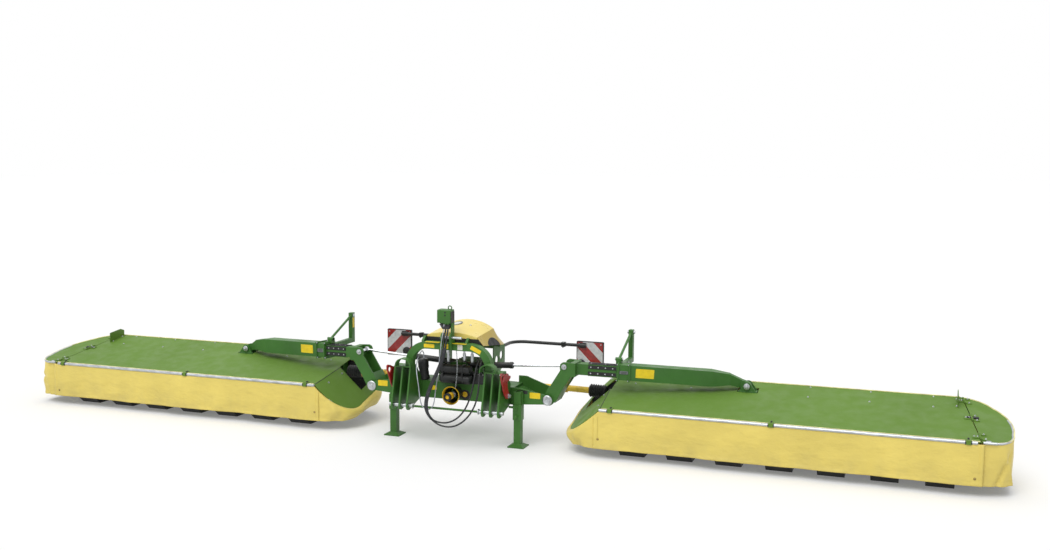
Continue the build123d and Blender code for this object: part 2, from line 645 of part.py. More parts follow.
knee_face = hull([(PIVOT_X, PIVOT_Z, KNEE_ROOT_R), (1112, 730, 60)])
knee_head = hull([(ROD_PIN_X, ROD_PIN_Z, 44)],
                 [(1070, 700), (KNEE_BLOCK_X[1], KNEE_BLOCK_Z[0]), (KNEE_BLOCK_X[1], KNEE_BLOCK_Z[1])])
outer_web = outline((1003, 452), (1016, 446), (1142, 690), (KNEE_BLOCK_X[0] + 10, KNEE_BLOCK_Z[0]),
                    (KNEE_BLOCK_X[0] + 10, KNEE_BLOCK_Z[0] + 12), (1130, 697))
inner_web = outline((893, 486), (905, 480), (960, 592), (949, 600))
with BuildPart() as wing_arm:
    for y in (KNEE_Y[0], KNEE_Y[1] - KNEE_PLATE_T):
        slab(knee_face, y, y + KNEE_PLATE_T)
        slab(knee_head, y, y + KNEE_PLATE_T)
    slab(outer_web, *KNEE_Y)
    slab(inner_web, *KNEE_Y)
    block((KNEE_BLOCK_X[0], KNEE_Y[0], KNEE_BLOCK_Z[0]), (KNEE_BLOCK_X[1], KNEE_Y[1], KNEE_BLOCK_Z[1]))
    boom_box(*BOOM_A, (-BOOM_HALF_V, BOOM_HALF_V), (-BOOM_HALF_B, BOOM_HALF_B))
    for b in (-30, 30):
        boom_box(200, BOOM_A[1], (-BOOM_HALF_V - STRIP_T, BOOM_HALF_V + STRIP_T),
                 (b - STRIP_W / 2, b + STRIP_W / 2))
    for v in (-30, 30):
        boom_box(200, BOOM_A[1], (v - STRIP_W / 2, v + STRIP_W / 2),
                 (-BOOM_HALF_B - STRIP_T, BOOM_HALF_B + STRIP_T))
    boom_box(BOOM_A[0] + 60, BOOM_A[1], (-BOOM_HALF_V + BOOM_WALL, BOOM_HALF_V - BOOM_WALL),
             (-BOOM_HALF_B + BOOM_WALL, BOOM_HALF_B - BOOM_WALL), mode=Mode.SUBTRACT)
    bar((PIVOT_X, 200, PIVOT_Z), (PIVOT_X, 640, PIVOT_Z), PIVOT_R + PIN_GAP, mode=Mode.SUBTRACT)
    for y in (KNEE_Y[0] - 9, KNEE_Y[1]):
        bar((ROD_PIN_X, y, ROD_PIN_Z), (ROD_PIN_X, y + 9, ROD_PIN_Z), 26)
save_pair(wing_arm.part, "wing_arm")

# Outer boom: a sleeve that slides on the inner one, its collar, its tip and the bracket behind it
BORE = (BOOM_HALF_V + STRIP_T + STRIP_GAP, BOOM_HALF_B + STRIP_T + STRIP_GAP)
SLEEVE = (BORE[0] + SLEEVE_T[0], BORE[1] + SLEEVE_T[1])
tip_face = hull([(TIP_X, TIP_Z, TIP_R), (2610, 703, 40)])
with BuildPart() as boom_sleeve:
    boom_box(FLANGE_A[0], SLEEVE_A[1], (-SLEEVE[0], SLEEVE[0]), (-SLEEVE[1], SLEEVE[1]))
    for a in FLANGE_A:
        boom_box(a, a + FLANGE_T, (-SLEEVE[0] - FLANGE_GROW, SLEEVE[0] + FLANGE_GROW),
                 (-SLEEVE[1] - FLANGE_GROW, SLEEVE[1] + FLANGE_GROW))
    with BuildSketch(boom_end(SLEEVE_A[1])):
        Rectangle(2 * SLEEVE[0], 2 * SLEEVE[1])
    with BuildSketch(boom_end(TAPER_A)):
        Rectangle(2 * TAPER_HALF[0], 2 * TAPER_HALF[1])
    loft(ruled=True)
    slab(tip_face, TIP_Y - TIP_LUG_T / 2, TIP_Y + TIP_LUG_T / 2)
    bar((TIP_X, 700, TIP_Z), (TIP_X, 960, TIP_Z), TIP_PIN_R + PIN_GAP, mode=Mode.SUBTRACT)
    block((POST_X, 604, POST_Z[0]), (POST_X + POST_SIZE[0], POST_Y + POST_SIZE[1] / 2, POST_Z[0] + 50))
    block((POST_X, POST_Y - POST_SIZE[1] / 2, POST_Z[0]),
          (POST_X + POST_SIZE[0], POST_Y + POST_SIZE[1] / 2, POST_Z[1]))
    post_mid = POST_X + POST_SIZE[0] / 2
    block((post_mid - 25, 545, 826), (post_mid + 25, 612, 880))
    bar((post_mid, 570, 872), (post_mid, POST_Y, POST_Z[1] - 26), BRACE_R)
    bar((post_mid - 34, 570, 872), (post_mid + 34, 570, 872), 17)
    boom_box(FLANGE_A[0] - 40, BOOM_A[1] + TELESCOPE + 10, (-BORE[0], BORE[0]), (-BORE[1], BORE[1]),
             mode=Mode.SUBTRACT)
save_pair(boom_sleeve.part, "boom_sleeve")


def cylinder_axis(y):
    """Plane at a cylinder's base pin, facing along the cylinder to the knee."""
    way = Vector(ROD_PIN_X - CYL_BASE_X, 0, ROD_PIN_Z - CYL_Z)
    return Plane(origin=(CYL_BASE_X, y, CYL_Z), x_dir=(0, 1, 0), z_dir=way)


# Folding cylinders: barrels on the beam's lugs and rods that carry the pins of the knees
for name, y in (("right", CYL_Y_RIGHT), ("left", CYL_Y_LEFT)):
    axis_plane = cylinder_axis(y)
    reach = Vector(ROD_PIN_X - CYL_BASE_X, 0, ROD_PIN_Z - CYL_Z).length
    with BuildPart() as barrel:
        with BuildSketch(axis_plane.offset(20)):
            Circle(CYL_R)
        extrude(amount=CYL_LEN - 20)
        for s, length in ((46, 18), (CYL_LEN - 30, 26)):
            with BuildSketch(axis_plane.offset(s)):
                Circle(CYL_COLLAR_R)
            extrude(amount=length)
        bar((CYL_BASE_X, y - CYL_EYE_T / 2, CYL_Z), (CYL_BASE_X, y + CYL_EYE_T / 2, CYL_Z), CYL_R)
        bar((CYL_BASE_X, y - 60, CYL_Z), (CYL_BASE_X, y + 60, CYL_Z), ROD_PIN_R + PIN_GAP, mode=Mode.SUBTRACT)
        with BuildSketch(axis_plane.offset(40)):
            Circle(ROD_R + SHAFT_GAP)
        extrude(amount=CYL_LEN, mode=Mode.SUBTRACT)
    with BuildPart() as rod:
        with BuildSketch(axis_plane.offset(reach - ROD_LEN)):
            Circle(ROD_R)
        extrude(amount=ROD_LEN)
        bar((ROD_PIN_X, y - ROD_EYE_T / 2, ROD_PIN_Z), (ROD_PIN_X, y + ROD_EYE_T / 2, ROD_PIN_Z), 29)
        pin_ends = (KNEE_Y[0] + KNEE_PLATE_T + 6, KNEE_Y[1] - KNEE_PLATE_T - 6)
        bar((ROD_PIN_X, pin_ends[0], ROD_PIN_Z), (ROD_PIN_X, pin_ends[1], ROD_PIN_Z), ROD_PIN_R)
    pieces = {"fold_cylinder": barrel.part, "fold_rod": rod.part}
    for label, piece in pieces.items():
        save(piece if name == "right" else mirror(piece, about=Plane.YZ), f"{label}_{name}")

# Drive shaft to a mower unit: a core, a middle tube and an outer guard tube with its bellows
SHAFT_WAY = Vector(*IN) - Vector(*OUT)
SHAFT_PLANE = Plane(origin=OUT, x_dir=(0, 0, 1), z_dir=SHAFT_WAY)


def shaft_tube(s, radius, bore, mode=Mode.ADD):
    """Tube on the drive shaft's axis between two stations, in the open part."""
    with BuildSketch(SHAFT_PLANE.offset(s[0])) as shape:
        Circle(radius)
        if bore:
            Circle(bore, mode=Mode.SUBTRACT)
    extrude(shape.sketch, amount=s[1] - s[0], mode=mode)


with BuildPart() as shaft_core:
    shaft_tube(CORE_S, CORE_R, 0)
    bar((OUT[0], OUT[1] - EAR_Y[1] - 2, OUT[2]), (OUT[0], OUT[1] + EAR_Y[1] + 2, OUT[2]), CROSS_R)
    shaft_tube(YOKE_S, YOKE_R, 0)
save_pair(shaft_core.part, "shaft_core")

with BuildPart() as shaft_middle:
    shaft_tube(MID_S, MID_R, CORE_R + SHAFT_GAP)
save_pair(shaft_middle.part, "shaft_middle")

with BuildPart() as shaft_outer:
    shaft_tube((OUTER_S[0], BELLOWS_S + 10), OUTER_R, MID_R + SHAFT_GAP)
    shaft_tube((OUTER_S[0], OUTER_S[0] + 24), OUTER_R + 12, MID_R + SHAFT_GAP)
    pitch = (OUTER_S[1] - BELLOWS_S) / BELLOWS_FOLDS
    for fold in range(BELLOWS_FOLDS):
        start = BELLOWS_S + fold * pitch
        for s, low, high in ((start, BELLOWS_R[0], BELLOWS_R[1]), (start + pitch / 2, BELLOWS_R[1], BELLOWS_R[0])):
            with BuildSketch(SHAFT_PLANE.offset(s)):
                Circle(low)
            with BuildSketch(SHAFT_PLANE.offset(s + pitch / 2)):
                Circle(high)
            loft(ruled=True)
    shaft_tube((BELLOWS_S - 5, OUTER_S[1] - 30), MID_R + SHAFT_GAP, 0, mode=Mode.SUBTRACT)
save_pair(shaft_outer.part, "shaft_outer")


# Mower unit: roof, curtain and outer flap
def inner_edge_x(y):
    return COVER_IN_X - COVER_IN_SKEW * (y - COVER_Y[0])


def hinge_x(y):
    return HINGE_X - HINGE_SKEW * (y - COVER_Y[0])


def cover_z(y):
    """Height of the cover's upper face."""
    return COVER_Z + COVER_SLOPE * (y - COVER_Y[0])


COVER_PLANE = Plane(origin=(0, COVER_Y[0], COVER_Z), x_dir=(1, 0, 0), z_dir=(0, -COVER_SLOPE, 1))
TONGUE_PLANE = Plane(origin=(COVER_IN_X, COVER_Y[0], COVER_Z),
                     z_dir=(-TONGUE_SLOPE, -COVER_SLOPE - TONGUE_SLOPE * COVER_IN_SKEW, 1))
SLOPE_COS = cos(atan(COVER_SLOPE))


def unit_face(y_front):
    """Plan outline of the unit inside the flap's hinge line."""
    start = (COVER_IN_X, y_front)
    rear = COVER_Y[1]
    with BuildSketch(mode=Mode.PRIVATE) as shape:
        with BuildLine():
            Polyline(start, (hinge_x(y_front), y_front), (hinge_x(rear), rear), (inner_edge_x(rear), rear))
            ThreePointArc((inner_edge_x(rear), rear), (TONGUE_X + 82, 950), (TONGUE_X, 720))
            Line((TONGUE_X, 720), (TONGUE_X, 470))
            ThreePointArc((TONGUE_X, 470), (TONGUE_X + 92, 205), start)
        make_face()
    return shape.sketch


def flap_face(y_front):
    """Plan outline of the rounded outer flap."""
    rear = COVER_Y[1]
    start = (hinge_x(y_front) + HINGE_GAP, y_front)
    end = (hinge_x(rear) + HINGE_GAP, rear)
    with BuildSketch(mode=Mode.PRIVATE) as shape:
        with BuildLine():
            Line(start, (FLAP_X - 130, y_front))
            ThreePointArc((FLAP_X - 130, y_front), (FLAP_X - 38, y_front + 52), (FLAP_X, 300))
            ThreePointArc((FLAP_X, 300), (FLAP_X - 22, 600), (FLAP_X - 150, 840))
            ThreePointArc((FLAP_X - 150, 840), (FLAP_X - 255, 970), end)
            Line(end, start)
        make_face()
    return shape.sketch


def under_roof(face, drop, floor):
    """Upright block over a plan outline, cut off at a depth below the roof's upper faces."""
    with BuildPart(mode=Mode.PRIVATE) as solid:
        with BuildSketch(Plane.XY.offset(floor)):
            add(face)
        extrude(amount=ROOF_REACH)
        split(bisect_by=COVER_PLANE.offset(-drop), keep=Keep.BOTTOM)
        split(bisect_by=TONGUE_PLANE.offset(-drop), keep=Keep.BOTTOM)
    return solid.part


def curtain_band(face, gate):
    """Plan outline's edge band, a curtain thick, without the stretch along the hinge line."""
    with BuildSketch(mode=Mode.PRIVATE) as shape:
        add(face)
        with BuildSketch(mode=Mode.PRIVATE) as inner:
            add(face)
            offset(amount=-SKIRT_T, kind=Kind.INTERSECTION)
        add(inner.sketch, mode=Mode.SUBTRACT)
        Polygon(*gate, align=None, mode=Mode.SUBTRACT)
    return shape.sketch


def on_cover(x, y):
    """Place on the cover's plane above a point of the plan."""
    return (x, (y - COVER_Y[0]) / SLOPE_COS)


def hinge_point(y):
    """Point of the flap's hinge axis at depth y."""
    return Vector(hinge_x(y) + HINGE_GAP / 2, y, cover_z(y) + HINGE_RISE)


def knuckle(y_mid, length, radius, mode=Mode.ADD):
    """Cylinder on the hinge axis round y_mid, in the open part."""
    way = (hinge_point(1) - hinge_point(0)).normalized()
    start = hinge_point(y_mid) - way * (length / 2)
    bar(tuple(start), tuple(start + way * length), radius, mode=mode)


def leaf(x_low, x_high, y_mid, length):
    """Flat hinge leaf on the roof beside the hinge line, in the open part."""
    x = hinge_x(y_mid)
    with BuildSketch(COVER_PLANE) as shape:
        with Locations(on_cover(x + (x_low + x_high) / 2, y_mid)):
            Rectangle(x_high - x_low, length)
    extrude(shape.sketch, amount=HINGE_RISE - 1)


roof_plan = unit_face(COVER_Y[0])
with BuildPart() as unit_cover:
    add(under_roof(roof_plan, 0, 0))
    add(under_roof(roof_plan, COVER_T, -50), mode=Mode.SUBTRACT)
    block((SLOT[0][0], SLOT[1][0], 200), (SLOT[0][1], SLOT[1][1], 700), mode=Mode.SUBTRACT)
    block((BRACKET_X[0] - 8, FRAME_BEAM_Y[0] - 6, 400), (BRACKET_X[1] + 8, FRAME_BEAM_Y[1] + 6, 800),
          mode=Mode.SUBTRACT)
    bar((COVER_IN_X, RAIL_Y, RAIL_Z), (HINGE_X - 40, RAIL_Y, RAIL_Z), RAIL_R)
    for x in (1622, 3100, 4730):
        block((x - 22, RAIL_Y - RAIL_R - 4, RAIL_Z - 16), (x + 22, COVER_Y[0] + 46, COVER_Z + 14))
    for y in HINGE_AT:
        leaf(-58, HINGE_GAP / 2, y, KNUCKLE_LEN[0])
        knuckle(y, KNUCKLE_LEN[0], KNUCKLE_R)
        knuckle(y, KNUCKLE_LEN[0] + 10, KNUCKLE_PIN_R + SEAT, mode=Mode.SUBTRACT)
    with BuildSketch(side(FLAG[0])):
        Polygon((FLAG[1], cover_z(FLAG[1]) - 1), (FLAG[2], cover_z(FLAG[2]) - 1),
                (FLAG[2], cover_z(FLAG[2]) + 62), (FLAG[2] - 60, cover_z(FLAG[2]) + 84),
                (FLAG[1], cover_z(FLAG[1]) + FLAG[3]), align=None)
    extrude(amount=-5)
save_pair(unit_cover.part, "unit_cover")

curtain_y = RAIL_Y - SKIRT_T / 2
hinge_gate = [(hinge_x(0) - 8, 0), (hinge_x(0) + 16, 0), (hinge_x(1200) + 16, 1200), (hinge_x(1200) - 8, 1200)]
with BuildPart() as unit_curtain:
    add(under_roof(curtain_band(unit_face(curtain_y), hinge_gate), COVER_T + SEAT, SKIRT_Z))
    block((1400, 0, RAIL_Z - 22), (5200, COVER_Y[0] - SEAT, 900), mode=Mode.SUBTRACT)
save_pair(unit_curtain.part, "unit_curtain")

with BuildPart() as end_flap:
    add(under_roof(flap_face(COVER_Y[0]), 0, 0))
    add(under_roof(flap_face(COVER_Y[0]), COVER_T, -50), mode=Mode.SUBTRACT)
    for y in HINGE_AT:
        for step in (-1, 1):
            y_side = y + step * ((KNUCKLE_LEN[0] + KNUCKLE_LEN[1]) / 2 + KNUCKLE_GAP)
            leaf(HINGE_GAP / 2, 62, y_side, KNUCKLE_LEN[1])
            knuckle(y_side, KNUCKLE_LEN[1], KNUCKLE_R)
        knuckle(y, KNUCKLE_LEN[0] + 2 * KNUCKLE_LEN[1], KNUCKLE_PIN_R)
save_pair(end_flap.part, "end_flap")

with BuildPart() as flap_curtain:
    add(under_roof(curtain_band(flap_face(COVER_Y[0]), hinge_gate), COVER_T + SEAT, SKIRT_Z))
save_pair(flap_curtain.part, "flap_curtain")

# Frame under the roof, with the bracket that hangs on the boom's tip
beam_top = cover_z(FRAME_BEAM_Y[0]) - FRAME_DROP
beam_low = beam_top - FRAME_BEAM_H
end_face = outline((FRAME_BEAM_Y[0], beam_top), (FRAME_BEAM_Y[1], beam_top), (FRAME_BEAM_Y[1], beam_low - 20),
                   (BAR_Y[1], BAR_Z[1]), (BAR_Y[1] - 130, BAR_Z[1]), (BAR_Y[1] - 110, BAR_Z[1] + 40),
                   (BAR_Y[1] - 40, 200), (FRAME_BEAM_Y[0] - 10, beam_low))
clevis_face = hull([(TIP_X, TIP_Z, TIP_R + 6)], [(BRACKET_X[0], beam_top + 4), (BRACKET_X[1], beam_top + 4)])
with BuildPart() as unit_frame:
    block((END_PLATE_X[0], FRAME_BEAM_Y[0], beam_low), (END_PLATE_X[1] + END_PLATE_T, FRAME_BEAM_Y[1], beam_top))
    for x in END_PLATE_X:
        wall(end_face, x, x + END_PLATE_T)
    block((BRACKET_X[0], FRAME_BEAM_Y[0], beam_top), (BRACKET_X[1], FRAME_BEAM_Y[1], beam_top + 16))
    inside = TIP_LUG_T / 2 + BRACKET_GAP
    for y in (TIP_Y - inside - BRACKET_PLATE_T, TIP_Y + inside):
        slab(clevis_face, y, y + BRACKET_PLATE_T)
    for x in (1700, 3600, 4560):
        block((x - 30, FRAME_BEAM_Y[0] + 10, beam_top - 5),
              (x + 30, FRAME_BEAM_Y[0] + 16, cover_z(FRAME_BEAM_Y[0] + 10) - COVER_T / SLOPE_COS - SEAT))
    y_pin = inside + BRACKET_PLATE_T + 12
    bar((TIP_X, TIP_Y - y_pin, TIP_Z), (TIP_X, TIP_Y + y_pin, TIP_Z), TIP_PIN_R)
    for s in (-1, 1):
        bar((TIP_X, TIP_Y + s * (y_pin - 12), TIP_Z), (TIP_X, TIP_Y + s * y_pin, TIP_Z), 30)
save_pair(unit_frame.part, "unit_frame")

# Cutter bar on its skids, with the unit's gearbox at the inner end
skid_face = outline((218, 72), (300, 0), (600, 0), (646, 40), (590, 45), (350, 45), (350, 88), (232, 84))
with BuildPart() as cutter_bar:
    block((BAR_X[0], BAR_Y[0], BAR_Z[0]), (BAR_X[1], BAR_Y[1], BAR_Z[1]))
    chamfer(cutter_bar.edges().filter_by(Axis.X).group_by(Axis.Z)[-1], 14)
    for index in range(DISC_COUNT):
        x = DISC_X + index * DISC_PITCH
        wall(skid_face, x - SKID_W / 2, x + SKID_W / 2)
        with BuildSketch(Plane.XY.offset(BAR_Z[0])):
            with Locations((x, DISC_Y - 20)):
                Circle(140)
        extrude(amount=BAR_Z[1] - BAR_Z[0])
    bar((UNIT_BOX_X + 34, 545, BAR_Z[1] - 5), (UNIT_BOX_X + 34, 545, 470), 34)
    block((UNIT_BOX_X, 511, 430), (END_PLATE_X[0], 745, 480))
    block((UNIT_FLANGE_X, 612, 430), (END_PLATE_X[0], 745, 530))
    fillet(cutter_bar.edges().filter_by(Axis.X).group_by(Axis.Z)[-1], 12)
save_pair(cutter_bar.part, "cutter_bar")

# Cutting discs: an oval plate on a hub, with two blades
for index in range(DISC_COUNT):
    x = DISC_X + index * DISC_PITCH
    turn = 90 * (index % 2)
    base = Plane(origin=(x, DISC_Y, BAR_Z[1] + SEAT)).rotated((0, 0, turn))
    with BuildPart() as cutter_disc:
        with BuildSketch(base):
            Circle(HUB_R)
        extrude(amount=12)
        with BuildSketch(base.offset(12)):
            Ellipse(DISC_LONG, DISC_SHORT)
        with BuildSketch(base.offset(12 + DISC_T)):
            Ellipse(DISC_LONG - 14, DISC_SHORT - 14)
        loft(ruled=True)
        with BuildSketch(base.offset(12 + DISC_T)):
            Circle(HUB_R + 18)
        with BuildSketch(base.offset(12 + DISC_T + 34)):
            Circle(HUB_R - 10)
        loft(ruled=True)
        with BuildSketch(base.offset(12 - BLADE_T)):
            with Locations((BLADE_REACH / 2 + 62, 0), (-BLADE_REACH / 2 - 62, 0)):
                Rectangle(BLADE_REACH - 124, BLADE_W)
        extrude(amount=BLADE_T)
    save_pair(cutter_disc.part, f"cutter_disc_{index + 1}")
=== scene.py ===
"""Looks of a butterfly disc mower that stands parked on its two legs.

Metres, in the model's own frame. Heights and widths are as in the source; depths are given from the
lower link axis, and place() moves them into the frame.
"""
from math import atan2, cos, pi, radians, sin, sqrt

import bmesh
import bpy
from mathutils import Matrix, Vector


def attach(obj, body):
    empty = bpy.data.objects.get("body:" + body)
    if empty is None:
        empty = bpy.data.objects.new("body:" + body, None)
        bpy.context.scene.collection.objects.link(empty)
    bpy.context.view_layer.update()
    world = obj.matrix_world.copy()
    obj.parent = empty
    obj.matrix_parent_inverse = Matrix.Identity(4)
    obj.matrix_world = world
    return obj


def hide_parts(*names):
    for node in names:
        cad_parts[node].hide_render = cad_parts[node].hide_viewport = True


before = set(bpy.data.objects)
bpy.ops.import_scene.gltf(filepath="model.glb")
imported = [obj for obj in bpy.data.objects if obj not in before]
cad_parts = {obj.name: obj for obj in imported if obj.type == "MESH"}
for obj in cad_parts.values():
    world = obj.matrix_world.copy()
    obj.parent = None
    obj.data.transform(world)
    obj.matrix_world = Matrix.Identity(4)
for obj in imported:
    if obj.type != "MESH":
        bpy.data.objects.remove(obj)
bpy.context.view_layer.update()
Y_MID = 0.6075
SIDES = ((1, "right"), (-1, "left"))


def place(x, y, z):
    return Vector((x, y - Y_MID, z))


# Camera, floor and light
def add_camera():
    yaw, pitch, roll = radians(-19.82), radians(-6.18), radians(0.39)
    ahead = Vector((sin(yaw) * cos(pitch), cos(yaw) * cos(pitch), sin(pitch)))
    across = Vector((cos(yaw), -sin(yaw), 0))
    up = across.cross(ahead)
    right = across * cos(roll) + up * sin(roll)
    up = up * cos(roll) - across * sin(roll)
    data = bpy.data.cameras.new("camera")
    data.lens = 38.08
    data.sensor_width = 36
    data.clip_end = 200
    camera = bpy.data.objects.new("camera", data)
    turn = Matrix((right, up, -ahead)).transposed().to_4x4()
    camera.matrix_world = Matrix.Translation((4.312, -10.3145, 2.831)) @ turn
    bpy.context.scene.collection.objects.link(camera)
    bpy.context.scene.camera = camera


def seen_directly(nodes, links):
    """1 for a ray that comes from the camera, a mirror or glass, and 0 for one that lights the object."""
    path = nodes.new("ShaderNodeLightPath")
    first = nodes.new("ShaderNodeMath")
    first.operation = "MAXIMUM"
    links.new(path.outputs["Is Camera Ray"], first.inputs[0])
    links.new(path.outputs["Is Glossy Ray"], first.inputs[1])
    both = nodes.new("ShaderNodeMath")
    both.operation = "MAXIMUM"
    links.new(first.outputs[0], both.inputs[0])
    links.new(path.outputs["Is Transmission Ray"], both.inputs[1])
    return both.outputs[0]


def add_stage():
    world = bpy.data.worlds.new("studio")
    bpy.context.scene.world = world
    world.use_nodes = True
    nodes, links = world.node_tree.nodes, world.node_tree.links
    back = nodes["Background"]
    back.inputs["Color"].default_value = (1, 1, 1, 1)
    level = nodes.new("ShaderNodeMapRange")
    level.inputs["To Min"].default_value = 0.45
    level.inputs["To Max"].default_value = 1.0
    links.new(seen_directly(nodes, links), level.inputs["Value"])
    links.new(level.outputs["Result"], back.inputs["Strength"])

    bm = bmesh.new()
    corners = [bm.verts.new((x, y, 0)) for x, y in ((-90, -40), (90, -40), (90, 140), (-90, 140))]
    bm.faces.new(corners)
    mesh = bpy.data.meshes.new("floor")
    bm.to_mesh(mesh)
    bm.free()
    floor = bpy.data.objects.new("floor", mesh)
    bpy.context.scene.collection.objects.link(floor)
    paint = bpy.data.materials.new("floor_white")
    paint.use_nodes = True
    nodes, links = paint.node_tree.nodes, paint.node_tree.links
    nodes.remove(nodes["Principled BSDF"])
    diffuse = nodes.new("ShaderNodeBsdfDiffuse")
    diffuse.inputs["Color"].default_value = (0.80, 0.80, 0.80, 1)
    glow = nodes.new("ShaderNodeEmission")
    lift = nodes.new("ShaderNodeMath")
    lift.operation = "MULTIPLY"
    lift.inputs[1].default_value = 0.19
    links.new(seen_directly(nodes, links), lift.inputs[0])
    links.new(lift.outputs[0], glow.inputs["Strength"])
    both = nodes.new("ShaderNodeAddShader")
    links.new(diffuse.outputs[0], both.inputs[0])
    links.new(glow.outputs[0], both.inputs[1])
    links.new(both.outputs[0], nodes["Material Output"].inputs["Surface"])
    mesh.materials.append(paint)

    suns = ("key", (0.15, 0.75, -1.0), 38, 1.35), ("top", (0.1, -0.1, -1.0), 70, 0.75)
    for name, way, width, power in suns:
        data = bpy.data.lights.new(name, "SUN")
        data.angle = radians(width)
        data.energy = power
        lamp = bpy.data.objects.new(name, data)
        lamp.rotation_euler = Vector(way).to_track_quat("-Z", "Y").to_euler()
        bpy.context.scene.collection.objects.link(lamp)


# Materials
def linear(r, g, b):
    return tuple(((c / 255 + 0.055) / 1.055) ** 2.4 if c > 10.3 else c / 255 / 12.92 for c in (r, g, b))


def shade(colour, factor):
    return tuple(min(1, c * factor) for c in colour) + (1,)


class Paint:
    """A procedural material that is built up from noise in the object's own coordinates."""

    def __init__(self, name, rough=0.5, metal=0.0):
        self.material = bpy.data.materials.new(name)
        self.material.use_nodes = True
        self.nodes = self.material.node_tree.nodes
        self.links = self.material.node_tree.links
        self.shader = self.nodes["Principled BSDF"]
        self.preset(Metallic=metal, Roughness=rough)
        self.coords = self.nodes.new("ShaderNodeTexCoord").outputs["Object"]

    def stretched(self, scale):
        mapping = self.nodes.new("ShaderNodeMapping")
        mapping.inputs["Scale"].default_value = scale
        self.links.new(self.coords, mapping.inputs["Vector"])
        return mapping.outputs["Vector"]

    def noise(self, scale, detail=4.0, coords=None, low=0.35, high=0.65):
        """Noise, spread from 0 to 1 between two of its levels."""
        node = self.nodes.new("ShaderNodeTexNoise")
        node.inputs["Scale"].default_value = scale
        node.inputs["Detail"].default_value = detail
        self.links.new(coords or self.coords, node.inputs["Vector"])
        return self.between(node.outputs["Fac"], low, high)

    def between(self, value, low, high, to_low=0.0, to_high=1.0):
        node = self.nodes.new("ShaderNodeMapRange")
        for key, number in (("From Min", low), ("From Max", high), ("To Min", to_low), ("To Max", to_high)):
            node.inputs[key].default_value = number
        self.links.new(value, node.inputs["Value"])
        return node.outputs["Result"]

    def math(self, operation, a, b=None):
        node = self.nodes.new("ShaderNodeMath")
        node.operation = operation
        for slot, value in enumerate((a, b)):
            if value is None:
                continue
            if isinstance(value, (int, float)):
                node.inputs[slot].default_value = value
            else:
                self.links.new(value, node.inputs[slot])
        return node.outputs[0]

    def times(self, a, b):
        return self.math("MULTIPLY", a, b)

    def spots(self, tone, colour, share, scale, detail, low, high):
        """The tone, with a share of a second colour where the noise is high."""
        return self.mix(self.times(self.noise(scale, detail, low=low, high=high), share), tone, colour)

    def mix(self, share, a, b):
        node = self.nodes.new("ShaderNodeMix")
        node.data_type = "RGBA"
        self.links.new(share, node.inputs[0])
        for slot, value in ((6, a), (7, b)):
            if isinstance(value, tuple):
                node.inputs[slot].default_value = value
            else:
                self.links.new(value, node.inputs[slot])
        return node.outputs[2]

    def preset(self, **numbers):
        """Sets inputs of the shader that stay the same all over: Coat_Weight for Coat Weight."""
        for name, number in numbers.items():
            self.shader.inputs[name.replace("_", " ")].default_value = number

    def colour(self, value):
        self.links.new(value, self.shader.inputs["Base Color"])

    def rough(self, share, low, high):
        self.links.new(self.between(share, 0, 1, low, high), self.shader.inputs["Roughness"])

    def bump(self, layers, normal=None):
        """Bumps from (height, strength, distance) layers, one on the other."""
        for height, strength, distance in layers:
            node = self.nodes.new("ShaderNodeBump")
            node.inputs["Strength"].default_value = strength
            node.inputs["Distance"].default_value = distance
            self.links.new(height, node.inputs["Height"])
            if normal is not None:
                self.links.new(normal, node.inputs["Normal"])
            normal = node.outputs["Normal"]
        self.links.new(normal, self.shader.inputs["Normal"])

    def rounded(self, width):
        """Normal that is rounded over an edge, and how near a point is to an edge, from 0 to 1."""
        bevel = self.nodes.new("ShaderNodeBevel")
        bevel.samples = 4
        bevel.inputs["Radius"].default_value = width
        true = self.nodes.new("ShaderNodeNewGeometry")
        dot = self.nodes.new("ShaderNodeVectorMath")
        dot.operation = "DOT_PRODUCT"
        self.links.new(bevel.outputs["Normal"], dot.inputs[0])
        self.links.new(true.outputs["Normal"], dot.inputs[1])
        return bevel.outputs["Normal"], self.between(dot.outputs["Value"], 0.98, 0.8)

    def upward(self):
        geometry = self.nodes.new("ShaderNodeNewGeometry")
        split = self.nodes.new("ShaderNodeSeparateXYZ")
        self.links.new(geometry.outputs["Normal"], split.inputs[0])
        return self.between(split.outputs["Z"], 0.5, 1.0)

    def axis(self, name):
        split = self.nodes.new("ShaderNodeSeparateXYZ")
        self.links.new(self.coords, split.inputs[0])
        return split.outputs[name]


def enamel(name, rgb, rough=0.38, patch=2.2, dust=0.06, edge=0.55, width=0.004, spread=0.13, coat=0.12):
    """Sprayed paint: slight orange peel, uneven tone, dust on top and lighter, worn edges."""
    p = Paint(name, rough)
    base = linear(*rgb)
    tone = p.mix(p.noise(patch, 6), shade(base, 1 - spread), shade(base, 1 + spread))
    tone = p.spots(tone, shade(base, 0.6), 0.3, 38, 8, 0.62, 0.74)
    settled = p.times(p.times(p.upward(), p.noise(5, 6, low=0.3)), dust)
    tone = p.mix(settled, tone, (0.52, 0.49, 0.38, 1))
    normal, near = p.rounded(width)
    worn = p.times(p.times(near, p.noise(30, 5, low=0.4, high=0.7)), edge)
    tone = p.mix(worn, tone, shade(tuple(0.5 * c + 0.28 for c in base), 1.0))
    p.colour(tone)
    p.rough(p.noise(9, 5), rough - 0.06, rough + 0.14)
    p.bump(((p.noise(260, 3), 0.07, 0.001), (p.noise(7, 3), 0.05, 0.01)), normal)
    p.preset(Specular_IOR_Level=0.35, Coat_Weight=coat, Coat_Roughness=0.25)
    return p.material


